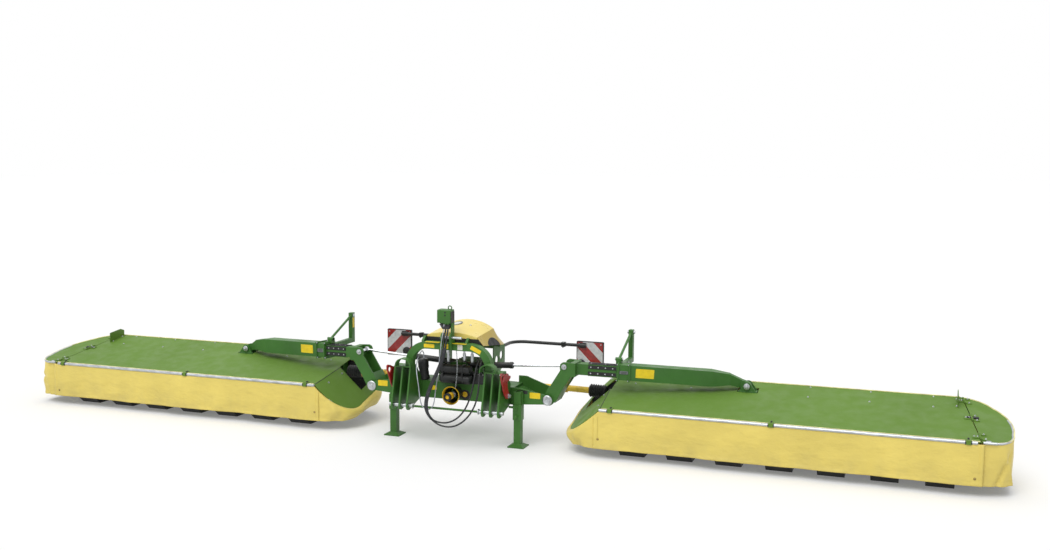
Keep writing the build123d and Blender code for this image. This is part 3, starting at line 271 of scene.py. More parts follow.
def metal(name, rgb, rough=0.32, streak=(1, 1, 1), patch=40.0, width=0.002):
    """Bare or plated steel with brushed streaks and a mottled tone."""
    p = Paint(name, rough, 1.0)
    base = linear(*rgb)
    streaks = p.noise(patch, 6, p.stretched(streak))
    tone = p.mix(streaks, shade(base, 0.78), shade(base, 1.12))
    p.colour(p.spots(tone, shade(base, 0.45), 0.35, 14, 8, 0.55, 0.75))
    p.rough(streaks, rough - 0.08, rough + 0.12)
    normal, _ = p.rounded(width)
    p.bump(((streaks, 0.08, 0.001),), normal)
    return p.material


def rubber(name, rgb, rough=0.6, grain=180.0, coat=0.0):
    """Moulded plastic or rubber with a fine grain and grey scuffs."""
    p = Paint(name, rough)
    base = linear(*rgb)
    tone = p.mix(p.noise(12, 6), shade(base, 0.75), shade(base, 1.3))
    p.colour(p.spots(tone, (0.3, 0.3, 0.28, 1), 0.22, 55, 8, 0.6, 0.72))
    p.rough(p.noise(20, 4), rough - 0.1, rough + 0.1)
    normal, _ = p.rounded(0.003)
    p.bump(((p.noise(grain, 4), 0.12, 0.001),), normal)
    p.preset(Coat_Weight=coat)
    return p.material


def cloth(name, rgb):
    """Coated tarpaulin: a fine weave under the coating, soft dents and splash dirt near the ground."""
    p = Paint(name, 0.5)
    base = linear(*rgb)
    tone = p.mix(p.noise(1.6, 5), shade(base, 0.92), shade(base, 1.05))
    tone = p.mix(p.times(p.noise(7, 6, p.stretched((1, 1, 0.4))), 0.25), tone, shade(base, 0.86))
    low = p.between(p.axis("Z"), 0.30, 0.08)
    dirt = p.times(p.times(low, p.noise(6, 8, low=0.35, high=0.7)), 0.35)
    tone = p.mix(dirt, tone, shade((0.36, 0.30, 0.14), 1.0))
    p.colour(tone)
    p.rough(p.noise(11, 5), 0.42, 0.6)
    threads = []
    for direction in ("X", "Z"):
        wave = p.nodes.new("ShaderNodeTexWave")
        wave.bands_direction = direction
        wave.inputs["Scale"].default_value = 130
        wave.inputs["Distortion"].default_value = 0.4
        p.links.new(p.coords, wave.inputs["Vector"])
        threads.append(wave.outputs["Fac"])
    weave = p.math("ADD", threads[0], threads[1])
    creases = p.noise(3.2, 3, p.stretched((1.3, 1.3, 2.4)), 0.42, 0.62)
    dents = p.noise(9, 4, p.stretched((0.8, 0.8, 1.6)))
    p.bump(((weave, 0.05, 0.001), (creases, 0.35, 0.014), (dents, 0.35, 0.008), (p.noise(26, 5), 0.12, 0.002)))
    p.preset(Sheen_Weight=0.08)
    return p.material


def sticker(name, rgb):
    """Printed foil without print: even colour, slightly lifted and rubbed."""
    p = Paint(name, 0.35)
    base = linear(*rgb)
    tone = p.mix(p.noise(25, 6), shade(base, 0.93), shade(base, 1.04))
    p.colour(p.spots(tone, shade(base, 0.6), 0.4, 90, 8, 0.64, 0.7))
    p.rough(p.noise(40, 4), 0.3, 0.48)
    p.bump(((p.noise(60, 4), 0.1, 0.001),))
    return p.material


def stripes(name):
    """Reflective board with red and white slanting stripes and a honeycomb under its foil."""
    p = Paint(name, 0.3)
    pitch, first = 0.165, 1.3138
    slant = p.times(p.math("ADD", p.math("ABSOLUTE", p.axis("X")), p.axis("Z")), 0.70711)
    turn = p.math("FRACT", p.math("ADD", p.times(slant, 1 / pitch), 0.5 - first / pitch + 20))
    red = p.between(p.math("ABSOLUTE", p.math("SUBTRACT", turn, 0.5)), 0.252, 0.248)
    fine = p.noise(30, 6)
    white = p.mix(fine, shade(linear(205, 208, 212), 0.95), shade(linear(222, 224, 228), 1.0))
    dark = p.mix(fine, shade(linear(150, 26, 26), 0.9), shade(linear(165, 34, 32), 1.05))
    p.colour(p.spots(p.mix(red, white, dark), (0.2, 0.18, 0.14, 1), 0.18, 9, 8, 0.45, 0.8))
    cells = p.nodes.new("ShaderNodeTexVoronoi")
    cells.inputs["Scale"].default_value = 300
    p.links.new(p.coords, cells.inputs["Vector"])
    p.bump(((cells.outputs["Distance"], 0.1, 0.001),))
    p.preset(Coat_Weight=0.4)
    return p.material


def shaft_guard(name):
    """Yellow guard tube whose last stretch, the bellows, is black rubber."""
    p = Paint(name, 0.45)
    yellow, black = linear(244, 206, 72), linear(26, 27, 28)
    bellows = p.between(p.math("ABSOLUTE", p.axis("X")), 1.256, 1.260)
    grime = p.noise(16, 7)
    first = p.mix(grime, shade(yellow, 0.8), shade(yellow, 1.08))
    second = p.mix(grime, shade(black, 0.7), shade(black, 1.6))
    p.colour(p.mix(bellows, first, second))
    p.rough(grime, 0.38, 0.58)
    normal, _ = p.rounded(0.003)
    p.bump(((p.noise(120, 4), 0.1, 0.001),), normal)
    return p.material


def guard_cone(name):
    """Shaft guard: a yellow rim and a black cone behind it."""
    p = Paint(name, 0.45)
    yellow, black = linear(232, 190, 30), linear(30, 30, 28)
    deep = p.between(p.axis("Y"), 0.153 - Y_MID, 0.155 - Y_MID)
    grime = p.noise(22, 7)
    p.colour(p.mix(deep, p.mix(grime, shade(yellow, 0.82), shade(yellow, 1.05)),
                   p.mix(grime, shade(black, 0.7), shade(black, 1.7))))
    p.rough(grime, 0.36, 0.55)
    p.bump(((p.noise(120, 4), 0.1, 0.001),))
    return p.material


def hood_paint(name):
    """Moulded hood: a pale top, painted shade on the side panels past its two folds, and a painted highlight
    along its edges.
    """
    p = Paint(name, 0.33)
    # painted shade: sides is the hood's yellow darkened for the side panels, which turn away from the light
    top, sides = linear(246, 222, 118), linear(196, 168, 52)
    cloud = p.noise(1.5, 6)
    tone = p.mix(cloud, shade(top, 0.96), shade(top, 1.03))
    deep = p.mix(cloud, shade(sides, 0.95), shade(sides, 1.05))
    # painted shade: mask of the side panels past the folds, which get the darker yellow
    side_shade_mask = p.between(p.math("ABSOLUTE", p.axis("X")), 0.262, 0.264)
    normal, near = p.rounded(0.012)
    tone = p.mix(side_shade_mask, tone, deep)
    # painted highlight: a brighter copy of the top colour along the rounded folds and edges
    tone = p.mix(p.times(near, 0.3), tone, shade(top, 1.1))
    p.colour(p.spots(tone, shade(sides, 0.6), 0.25, 70, 8, 0.66, 0.72))
    p.rough(p.noise(8, 4), 0.27, 0.42)
    p.bump(((p.noise(300, 2), 0.05, 0.001),), normal)
    p.preset(Coat_Weight=0.15, Coat_Roughness=0.2)
    return p.material


GREEN = enamel("green_paint", (62, 112, 44), rough=0.44, dust=0.03, coat=0.03)
COVER = enamel("cover_paint", (97, 133, 46), rough=0.55, patch=0.9, dust=0.02, edge=0.3, spread=0.05, coat=0.0)
HOOD = hood_paint("hood_paint")
RED = enamel("red_paint", (168, 24, 30), edge=0.6)
GREY = enamel("grey_paint", (120, 124, 126), edge=0.3)
BLACK = enamel("black_paint", (34, 36, 36), rough=0.4, edge=0.35)
YELLOW = sticker("foil_yellow", (246, 214, 24))
PALE = sticker("foil_pale", (225, 226, 220))
DARK = sticker("foil_dark", (38, 42, 38))
CLOTH = cloth("curtain_cloth", (238, 216, 112))
PIPING = rubber("piping_cream", (232, 222, 160), 0.5)
ZINC = metal("zinc_plate", (186, 190, 192), 0.36)
TUBE = metal("tube_steel", (186, 190, 195), 0.36, (0.2, 1, 1), 60)
BRASS = metal("stud_brass", (168, 148, 92), 0.4)
CHROME = metal("rod_chrome", (225, 228, 232), 0.12, (0.1, 1, 1), 30)
DISC = metal("disc_steel", (96, 98, 98), 0.5)
HOSE = rubber("hose_rubber", (30, 31, 33), 0.5, 220)
CABLE = rubber("cable_grey", (186, 191, 200), 0.45, 260)
WRAP = rubber("hose_wrap", (36, 38, 42), 0.7, 420)
RUBBER = rubber("black_rubber", (26, 27, 28), 0.62)
GUARD = rubber("guard_plastic", (226, 184, 34), 0.42, 140)
SHAFT = shaft_guard("shaft_guard")
STRIPES = stripes("board_stripes")
CONE = guard_cone("guard_cone")

NODES = {
    GREEN: "boom_sleeve carrier_beam gearbox headstock_arch hood_supports hose_box leg_sleeves link_brackets "
           "parking_leg unit_frame wing_arm",
    BLACK: "board_arms cutter_bar fold_cylinder valve_block", COVER: "end_flap unit_cover",
    CLOTH: "unit_curtain flap_curtain", SHAFT: "shaft_middle shaft_outer", ZINC: "hitch_pins input_shaft",
    HOSE: "pressure_hose return_hose", CHROME: "fold_rod", HOOD: "hood", CONE: "input_guard", RED: "lock_hooks",
    DISC: "shaft_core", RUBBER: "warning_boards", CABLE: "control_cable",
}
LOOKS = {node: look for look, nodes in NODES.items() for node in nodes.split()}


def look_of(node):
    base = node.removesuffix("_right").removesuffix("_left")
    return DISC if base.startswith("cutter_disc") else LOOKS[base]


for node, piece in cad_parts.items():
    for slot in piece.material_slots:
        slot.material = look_of(node)


# Mesh tools
def turned(axis, hint=(0, 0, 1)):
    """Rotation whose third column is the axis and whose first is as near the hint as it can be."""
    z = Vector(axis).normalized()
    x = Vector(hint) - z * z.dot(Vector(hint))
    if x.length < 0.01:
        x = Vector((1, 0, 0)) - z * z.x
    x.normalize()
    return Matrix((x, z.cross(x), z)).transposed()


def ring(bm, origin, turn, radius, sides, station=0):
    """Circle of vertices round the third column of turn."""
    return [bm.verts.new(Vector(origin) + turn @ Vector((
        radius * cos(2 * pi * k / sides), radius * sin(2 * pi * k / sides), station))) for k in range(sides)]


def band(bm, low, high):
    """Faces between two closed rings of vertices, either of which may be a single point."""
    count = max(len(low), len(high))
    for k in range(count):
        n = (k + 1) % count
        if len(low) == 1:
            bm.faces.new((low[0], high[k], high[n]))
        elif len(high) == 1:
            bm.faces.new((low[k], high[0], low[n]))
        else:
            bm.faces.new((low[k], high[k], high[n], low[n]))


def close(bm, rings):
    """Closed solid through rings of vertices."""
    for low, high in zip(rings, rings[1:]):
        band(bm, low, high)
    for end in (rings[0], rings[-1][::-1]):
        if len(end) > 1:
            bm.faces.new(end)


def skin(bm, grid):
    """Faces between the columns of a grid of vertices."""
    for a, b in zip(grid, grid[1:]):
        for k in range(len(a) - 1):
            bm.faces.new((a[k], a[k + 1], b[k + 1], b[k]))


def lathe(bm, origin, axis, profile, sides=20, hint=(0, 0, 1)):
    """Turned solid: (station, radius) pairs along an axis, closed flat at an end that isn't a point."""
    turn = turned(axis, hint)
    first, last = profile[0], profile[-1]
    profile = [(first[0], 0)] * bool(first[1]) + list(profile) + [(last[0], 0)] * bool(last[1])
    close(bm, [ring(bm, origin, turn, radius, sides if radius else 1, station) for station, radius in profile])


def tube(bm, points, radius, sides=10, hint=(0, 0, 1)):
    """Round bar along a line of points, closed at its ends."""
    rings = []
    for index, point in enumerate(points):
        way = Vector(points[min(index + 1, len(points) - 1)]) - Vector(points[max(index - 1, 0)])
        rings.append(ring(bm, point, turned(way, hint), radius, sides))
    close(bm, rings)


def rounded_box(bm, centre, half, turn=None, corner=0.004):
    """Box with bevelled edges: half sizes along the columns of turn."""
    turn = turn or Matrix.Identity(3)
    made = bmesh.ops.create_cube(bm, size=2)
    for vert in made["verts"]:
        vert.co = Vector(centre) + turn @ Vector([c * reach for c, reach in zip(vert.co, half)])
    edges = list({edge for vert in made["verts"] for edge in vert.link_edges})
    bmesh.ops.bevel(bm, geom=edges, offset=min(corner, 0.45 * min(half) * 2), segments=2, affect="EDGES")


def foil(bm, centre, across, up, size, lift=0.0006, corner=0.006):
    """Thin plate with rounded corners on a surface: its two directions and its width and height."""
    across, up = Vector(across).normalized(), Vector(up).normalized()
    out = across.cross(up).normalized()
    outline = []
    for sx, sy, start in ((1, 1, 0), (-1, 1, 90), (-1, -1, 180), (1, -1, 270)):
        for step in range(5):
            angle = radians(start + 22.5 * step)
            outline.append(Vector(centre) + across * (sx * (size[0] / 2 - corner) + corner * cos(angle))
                           + up * (sy * (size[1] / 2 - corner) + corner * sin(angle)))
    close(bm, [[bm.verts.new(spot + out * height) for spot in outline] for height in (0, lift)])


def bolt(bm, spot, axis, size=0.012, washer=True):
    """Hexagon head on a washer, with its thread end."""
    if washer:
        lathe(bm, spot, axis, ((0, size * 1.25), (size * 0.18, size * 1.25)), 20)
    lathe(bm, spot, axis, ((0, size), (size * 0.8, size), (size * 0.95, size * 0.85)), 6, (0.3, 0.2, 1))
    lathe(bm, spot, axis, ((size * 0.9, size * 0.5), (size * 1.3, size * 0.5), (size * 1.35, 0)), 12)


def add_piece(name, data, body, material):
    """Puts a mesh or a curve into the scene, riding on its body."""
    data.materials.append(material)
    piece = bpy.data.objects.new(name, data)
    bpy.context.scene.collection.objects.link(piece)
    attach(piece, body)
    return piece


def finish(name, bm, body, material, side="", angle=35):
    """Makes a piece of a mesh: smooth up to an angle in degrees, or all over where there is none."""
    if side:
        name = f"{name}_{side}"
        body = body if body == "headstock" else f"{body}_{side}"
    bmesh.ops.recalc_face_normals(bm, faces=bm.faces)
    mesh = bpy.data.meshes.new(name)
    bm.to_mesh(mesh)
    bm.free()
    for polygon in mesh.polygons:
        polygon.use_smooth = True
    if angle:
        mesh.set_sharp_from_angle(angle=radians(angle))
    return add_piece(name, mesh, body, material)


def rectangle(left, right, base, top):
    return (left, base), (right, base), (right, top), (left, top)


def solid_between(bm, low, high):
    """Closed solid between two rings of corners."""
    close(bm, [[bm.verts.new(p) for p in corners] for corners in (low, high)])


# Hoses and cable
PRESSURE_ROUTE = (
    (-7, 30, 1196), (-7, 30, 1160), (-7, 14, 1118), (-6, -10, 1080), (-5, -25, 1035), (-7, -31, 970),
    (-20, -35, 885), (-54, -38, 790), (-106, -40, 680), (-160, -42, 565), (-196, -42, 455), (-200, -42, 365),
    (-165, -42, 295), (-100, -42, 250), (-20, -40, 236), (65, -40, 250), (150, -38, 300), (220, -34, 385),
    (266, -26, 490), (290, -10, 600), (298, 20, 705), (296, 75, 795), (280, 155, 835), (252.5, 231.5, 834),
    (227, 271.5, 819), (207, 303, 786), (196, 320, 740), (196, 320, 690),
)
RETURN_ROUTE = (
    (17, 30, 1196), (17, 30, 1160), (17, 14, 1118), (18, -10, 1080), (20, -27, 1035), (19, -38, 968),
    (6, -48, 885), (-24, -60, 790), (-76, -66, 680), (-128, -66, 565), (-164, -66, 450), (-166, -66, 360),
    (-133, -66, 285), (-72, -64, 233), (10, -62, 208), (103, -60, 212), (192, -56, 256), (266, -50, 330),
    (322, -42, 424), (350, -30, 526), (354, -8, 630), (342, 36, 724), (322, 98, 796), (300, 165, 826),
    (279, 227, 829), (261, 269, 814), (247.5, 302, 782), (240, 320, 738), (240, 320, 690),
)
CABLE_ROUTE = (
    (-27, 30, 1196), (-27, 30, 1164), (-27, 16, 1124), (-28, -6, 1084), (-31, -20, 1038), (-38, -24, 965),
    (-52, -18, 870), (-66, -12, 760), (-84, -10, 650), (-98, -10, 560), (-106, -11, 490), (-114, -12, 434),
    (-124, -12, 392), (-142, -13, 368), (-168, -14, 354), (-198, -15, 353), (-225, -16, 365),
    (-245, -16, 387), (-256, -16, 415), (-265, -15, 458), (-274, -13, 520), (-284, -8, 590), (-304, 4, 668),
    (-322, 26, 740), (-334, 64, 806), (-338, 118, 852), (-346, 184, 878), (-363, 240, 880),
    (-374, 283, 869), (-379, 313, 851), (-380, 330, 822), (-380, 330, 787),
)
CORDS = (("pressure_hose", PRESSURE_ROUTE, 0.016, 2.21, HOSE),
         ("return_hose", RETURN_ROUTE, 0.016, 2.27, HOSE),
         ("control_cable", CABLE_ROUTE, 0.010, 1.755, CABLE))


def route_curve(name, route):
    data = bpy.data.curves.new(name, "CURVE")
    data.dimensions = "3D"
    spline = data.splines.new("NURBS")
    spline.points.add(len(route) - 1)
    for point, (x, y, z) in zip(spline.points, route):
        point.co = (*place(x / 1000, y / 1000, z / 1000), 1)
    spline.order_u = 3
    spline.use_endpoint_u = True
    spline.resolution_u = 8
    return data


def route_points(route):
    """Points of a route's own spline."""
    holder = bpy.data.objects.new("route", route_curve("route", route))
    mesh = bpy.data.meshes.new_from_object(holder)
    points = [vert.co.copy() for vert in mesh.vertices]
    data = holder.data
    bpy.data.objects.remove(holder)
    bpy.data.curves.remove(data)
    bpy.data.meshes.remove(mesh)
    return points


def hose_wrap():
    """Woven sleeve round the two hoses where they hang side by side."""
    first, second = route_points(PRESSURE_ROUTE), route_points(RETURN_ROUTE)
    run = [p for p in first if p.x < 0.01 and 0.262 < p.z < 0.985]
    bm = bmesh.new()
    rings = []
    for index, point in enumerate(run):
        other = min(second, key=lambda q: (q - point).length)
        ahead = (run[min(index + 1, len(run) - 1)] - run[max(index - 1, 0)]).normalized()
        across = other - point
        across -= ahead * across.dot(ahead)
        half = across.length / 2
        across.normalize()
        side = ahead.cross(across)
        middle = (point + other) / 2
        wide, thin = half + 0.0105, 0.0125 + 0.0008 * (index % 2)
        if index in (0, len(run) - 1):
            wide, thin = half + 0.009, 0.010
        rings.append([bm.verts.new(middle + across * wide * cos(2 * pi * k / 16)
                                   + side * thin * sin(2 * pi * k / 16)) for k in range(16)])
    close(bm, rings)
    return finish("hose_wrap", bm, "headstock", WRAP, angle=60)


def add_cords():
    wrap = hose_wrap()
    for node, route, diameter, length, look in CORDS:
        data = route_curve(f"{node}_line", route)
        data.bevel_depth = diameter / 2
        data.bevel_resolution = 3
        data.use_fill_caps = True
        piece = add_piece(f"{node}_line", data, "headstock", look)
        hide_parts(node)


# Curtains of the mower units
COVER_FRONT, COVER_REAR = 0.119, 1.045
COVER_Z, COVER_SLOPE = 0.4688, 0.199
ROOF_UP = (0, -COVER_SLOPE, 1)
TONGUE_X, TONGUE_SLOPE, IN_X, IN_SKEW = 1.160, 0.9, 1.521, 0.068
HINGE_X, HINGE_SKEW = 4.833, 0.153
FLAP_X = 5.090
RAIL_Y, RAIL_Z = 0.105, 0.462
SKIRT_Z = 0.095
UNDER_ROOF = 0.0063       # the cloth's top edge lies this far under the roof


def cover_z(y):
    return COVER_Z + COVER_SLOPE * (y - COVER_FRONT)


def hinge_x(y):
    return HINGE_X - HINGE_SKEW * (y - COVER_FRONT)


def in_x(y):
    return IN_X - IN_SKEW * (y - COVER_FRONT)


def roof_z(x, y):
    tongue = COVER_Z + TONGUE_SLOPE * (x - IN_X) + (COVER_SLOPE + TONGUE_SLOPE * IN_SKEW) * (y - COVER_FRONT)
    return min(cover_z(y), tongue)


def arc(start, middle, end, count):
    """Points of the circle's arc through three points of the plan."""
    (ax, ay), (bx, by), (cx, cy) = start, middle, end
    d = 2 * (ax * (by - cy) + bx * (cy - ay) + cx * (ay - by))
    a2, b2, c2 = ax * ax + ay * ay, bx * bx + by * by, cx * cx + cy * cy
    ux = (a2 * (by - cy) + b2 * (cy - ay) + c2 * (ay - by)) / d
    uy = (a2 * (cx - bx) + b2 * (ax - cx) + c2 * (bx - ax)) / d
    radius = sqrt((ax - ux) ** 2 + (ay - uy) ** 2)
    angles = [atan2(y - uy, x - ux) for x, y in (start, middle, end)]
    sweep = (angles[2] - angles[0]) % (2 * pi)
    if (angles[1] - angles[0]) % (2 * pi) > sweep:
        sweep -= 2 * pi
    return [(ux + radius * cos(angles[0] + sweep * k / count), uy + radius * sin(angles[0] + sweep * k / count))
            for k in range(count + 1)]


def walk(plan, step, out_side=1):
    """Stations along a plan line: (distance, x, y, outward x, outward y); 1 has the outside on its right."""
    lengths = [0.0]
    for (ax, ay), (bx, by) in zip(plan, plan[1:]):
        lengths.append(lengths[-1] + sqrt((bx - ax) ** 2 + (by - ay) ** 2))
    count = int(lengths[-1] / step)
    stations = []
    k = 0
    for index in range(count + 1):
        s = lengths[-1] * index / count
        while k < len(plan) - 2 and lengths[k + 1] < s:
            k += 1
        share = (s - lengths[k]) / (lengths[k + 1] - lengths[k])
        (ax, ay), (bx, by) = plan[k], plan[k + 1]
        stations.append((s, ax + (bx - ax) * share, ay + (by - ay) * share))
    out = []
    for index, (s, x, y) in enumerate(stations):
        _, ax, ay = stations[max(index - 3, 0)]
        _, bx, by = stations[min(index + 3, count)]
        way = sqrt((bx - ax) ** 2 + (by - ay) ** 2)
        out.append((s, x, y, out_side * (by - ay) / way, -out_side * (bx - ax) / way))
    return out


def smooth(value, low, high):
    t = max(0.0, min(1.0, (value - low) / (high - low)))
    return t * t * (3 - 2 * t)


# Soft waves: length, slope, share and phase
WAVES = ((1.73, 0.35, 0.36, 0.3), (0.94, -0.7, 0.28, 1.9), (0.53, 0.45, 0.20, 4.1),
         (0.31, -0.4, 0.12, 2.6), (0.19, 0.3, 0.05, 0.8))
# Slanting folds: place along the sheet, slope, width, depth, highest and lowest share of the height
FLAP_FOLDS = ((0.140, 0.16, 0.034, 0.018, 0.05, 0.5), (0.30, -0.18, 0.040, -0.024, 0.0, 0.7),
              (0.47, 0.10, 0.060, 0.009, 0.1, 0.6), (0.66, -0.12, 0.09, -0.010, 0.2, 0.9),
              (0.90, 0.1, 0.08, 0.008, 0.1, 0.8))
INNER_FOLDS = ((3.52, 0.10, 0.05, 0.012, 0.05, 0.5), (3.68, -0.12, 0.07, -0.016, 0.1, 0.8),
               (3.86, 0.08, 0.05, 0.010, 0.1, 0.8))
CLOTH_T = 0.0024
HEM_T = 0.925             # share of the height at which the hem begins
WAVE_DEPTH, BULGE = 0.020, 0.050


def pleat(s, t, folds):
    """How far the folds push the sheet out at a place along it and a share of its height."""
    push = 0.0
    for start, slope, width, deep, top, low in folds:
        off = (s - start - slope * t) / width
        push += deep * (1 - abs(off) ** 1.3) * smooth(t, top, low) if abs(off) < 1 else 0.0
    return push


def hang(station, t, seed, depth, bulge, folds=()):
    """Point of a hung curtain: t runs from 0 at its top to 1 at its hem."""
    s, x, y, nx, ny = station
    top = roof_z(x, y) - UNDER_ROOF
    if y < COVER_FRONT:
        top = min(top, RAIL_Z - 0.008)
    inner = smooth(x, 1.46, 1.20) if x < 1.6 else 0.0
    low = SKIRT_Z + 0.055 * inner * smooth(y, 0.2, 0.7)
    push = sum(w * sin(2 * pi * (s + slope * t * 0.4) / length + phase + seed)
               for length, slope, w, phase in WAVES)
    free = 0.25 + 0.75 * smooth(abs(x - hinge_x(y)), 0.02, 0.22)
    push *= depth * (0.15 + 0.85 * t) * smooth(t, 0.0, 0.15) * free
    push += bulge * inner * sin(pi * t ** 0.75) * 0.9
    push += 0.0016 if t > 0.93 else 0.0
    push += pleat(s, t, folds)
    return x + nx * push, y + ny * push, top + (low - top) * t


def sheet(name, sign, side, stations, body, node, shape, lift=0.0, folds=()):
    """Curtain along a plan line, with its hem, as one sheet of cloth, and its flat length, height and area."""
    marks = [k / 26 * HEM_T for k in range(26)] + [HEM_T, 0.936, 0.985, 1.0]
    bm = bmesh.new()
    grid = []
    for station in stations:
        column = []
        for t in marks:
            x, y, z = hang(station, t, *shape, folds)
            x, y = x + station[3] * lift, y + station[4] * lift
            column.append(bm.verts.new(place(sign * x, y, z)))
        grid.append(column)
    skin(bm, grid)
    heights = [(column[0].co - column[-1].co).length for column in grid]
    length = stations[-1][0] - stations[0][0]
    facts = length, max(heights), length * sum(heights) / len(heights)
    piece = finish(name, bm, body, CLOTH, side, angle=None)
    thick = piece.modifiers.new("thickness", "SOLIDIFY")
    thick.thickness = CLOTH_T
    thick.offset = 0
    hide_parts(f"{node}_{side}")
    return piece, facts


def unit_plan(y_front):
    start = (IN_X, y_front)
    plan = [(hinge_x(y_front) + 0.020, y_front), start]
    plan += arc(start, (TONGUE_X + 0.092, 0.205), (TONGUE_X, 0.470), 24)[1:]
    plan += arc((TONGUE_X, 0.720), (TONGUE_X + 0.082, 0.950), (in_x(COVER_REAR), COVER_REAR), 24)
    plan.append((hinge_x(COVER_REAR) + 0.008, COVER_REAR))
    return plan


def flap_plan(y_front):
    plan = [(hinge_x(y_front) + 0.012, y_front), (FLAP_X - 0.130, y_front)]
    plan += arc((FLAP_X - 0.130, y_front), (FLAP_X - 0.038, y_front + 0.052), (FLAP_X, 0.300), 16)[1:]
    plan += arc((FLAP_X, 0.300), (FLAP_X - 0.022, 0.600), (FLAP_X - 0.150, 0.840), 16)[1:]
    plan += arc((FLAP_X - 0.150, 0.840), (FLAP_X - 0.255, 0.966),
                (hinge_x(COVER_REAR) + 0.004, COVER_REAR - 0.013), 12)[1:]
    return plan


def add_curtains(sign, side):
    # The front panel overlaps the corner panel in an upright seam.
    stations = walk(unit_plan(0.1045), 0.016, -1)
    corner = next(k for k, st in enumerate(stations) if st[1] < 1.478)
    front_part, rest = stations[:corner + 1], stations[corner - 3:]
    front_shape = (0.0 if sign > 0 else 1.3, WAVE_DEPTH, BULGE)
    panel, facts = sheet("front_curtain", sign, side, front_part, "unit", "unit_curtain", front_shape,
                         lift=0.0035)
    inner, inner_facts = sheet("corner_curtain", sign, side, rest, "unit", "unit_curtain",
                               (2.2, WAVE_DEPTH, BULGE), folds=INNER_FOLDS)
    seam = bmesh.new()
    for k in (corner, corner - 2, 2):
        line = [hang(stations[k], row / 24, *front_shape) for row in range(25)]
        tube(seam, [place(sign * x, y - 0.0050, z) for x, y, z in line], 0.0016, 6, (1, 0, 0))
    seam = finish("curtain_seam", seam, "unit", CLOTH, side)
    studs = bmesh.new()
    for x, z in ((1.507, 0.187), (4.795, 0.160)):
        near = min(front_part, key=lambda st: abs(st[1] - x))
        top = roof_z(near[1], near[2]) - UNDER_ROOF
        px, py, pz = hang(near, (top - z) / (top - SKIRT_Z), *front_shape)
        lathe(studs, place(sign * px, py - 0.0047, pz), (0, -1, 0),
              ((0, 0.012), (0.002, 0.0116), (0.003, 0.008), (0.006, 0.0056), (0.007, 0)))
    studs = finish("curtain_studs", studs, "unit", BRASS, side)
    flap, flap_facts = sheet("end_curtain", sign, side, walk(flap_plan(0.1205), 0.014), "flap", "flap_curtain",
                             (3.1 if sign > 0 else 0.7, WAVE_DEPTH, 0.0), folds=FLAP_FOLDS)


def add_rail(sign, side):
    """Bright tube that holds the curtain, the pale piping behind it and its clamps."""
    bm = bmesh.new()
    ends = place(sign * (IN_X - 0.004), RAIL_Y, RAIL_Z), place(sign * (HINGE_X - 0.030), RAIL_Y, RAIL_Z)
    reach = (ends[1] - ends[0]).length
    lathe(bm, ends[0], ends[1] - ends[0], ((0, 0.0125), (0.0015, 0.0145), (reach - 0.0015, 0.0145),
                                           (reach, 0.0125)), 24)
    finish("curtain_rail", bm, "unit", TUBE, side)
    bm = bmesh.new()
    tube(bm, [place(sign * x, 0.124, cover_z(0.124) + 0.0035)
              for x in (IN_X + 0.01, HINGE_X - 0.012)], 0.0055, 10)
    tube(bm, [place(sign * x, COVER_REAR - 0.004, cover_z(COVER_REAR) + 0.001)
              for x in (IN_X - 0.05, hinge_x(COVER_REAR) - 0.012)], 0.0055, 10)
    finish("cover_piping", bm, "unit", PIPING, side)
    bm = bmesh.new()
    line = [place(sign * x, y, cover_z(y) + 0.0005) for _, x, y, _, _ in walk(flap_plan(0.124), 0.02)]
    tube(bm, line, 0.0065, 10)
    finish("flap_piping", bm, "flap", PIPING, side)
    bm = bmesh.new()
    rim = [station for station in walk(flap_plan(0.1185), 0.02) if station[2] < 0.62]
    tube(bm, [place(sign * (x - 0.010 * nx), y, cover_z(y) - 0.003) for _, x, y, nx, _ in rim], 0.0095, 16)
    finish("flap_rail", bm, "flap", TUBE, side)
    bm = bmesh.new()
    for x in (1.622, 3.1, 4.73):
        for dx in (-0.0225, 0.0225):
            lathe(bm, place(sign * (x + dx), RAIL_Y, RAIL_Z), (1, 0, 0),
                  ((-0.005, 0.0185), (0.005, 0.0185)), 24)
        for y in (0.135, 0.155):
            bolt(bm, place(sign * x, y, COVER_Z + 0.014), (0, 0, 1), 0.008)
    finish("rail_clamps", bm, "unit", BLACK, side)
    bm = bmesh.new()
    tube(bm, [place(sign * x, 0.110, 0.468) for x in (4.846, 4.955)], 0.012, 16)
    rounded_box(bm, place(sign * 4.885, 0.118, 0.474), (0.022, 0.010, 0.013))
    finish("flap_bracket", bm, "flap", ZINC, side)


# Boom: its own axes, and the wear strips and plates on it
BOOM = Vector((1.110, 0.418, 0.783))
S, C = sin(radians(14)), cos(radians(14))
DS, DC = sin(radians(2.6)), cos(radians(2.6))
ALONG = Vector((C * DC, S * DC, -DS))
BACK = Vector((-S, C, 0))
RISE = ALONG.cross(BACK)
TIP_X, TIP_Z = 2.781, 0.654                     # the pin at the boom's tip
SCREW_HEAD = (0, 0.0068), (0.00065, 0.0062)


def boom(sign, a, v, b):
    """Point of a boom: a along it, v backwards and b upwards."""
    p = BOOM + ALONG * a + BACK * v + RISE * b
    return place(sign * p.x, p.y, p.z)


def flip(sign, v):
    return Vector((sign * v.x, v.y, v.z))


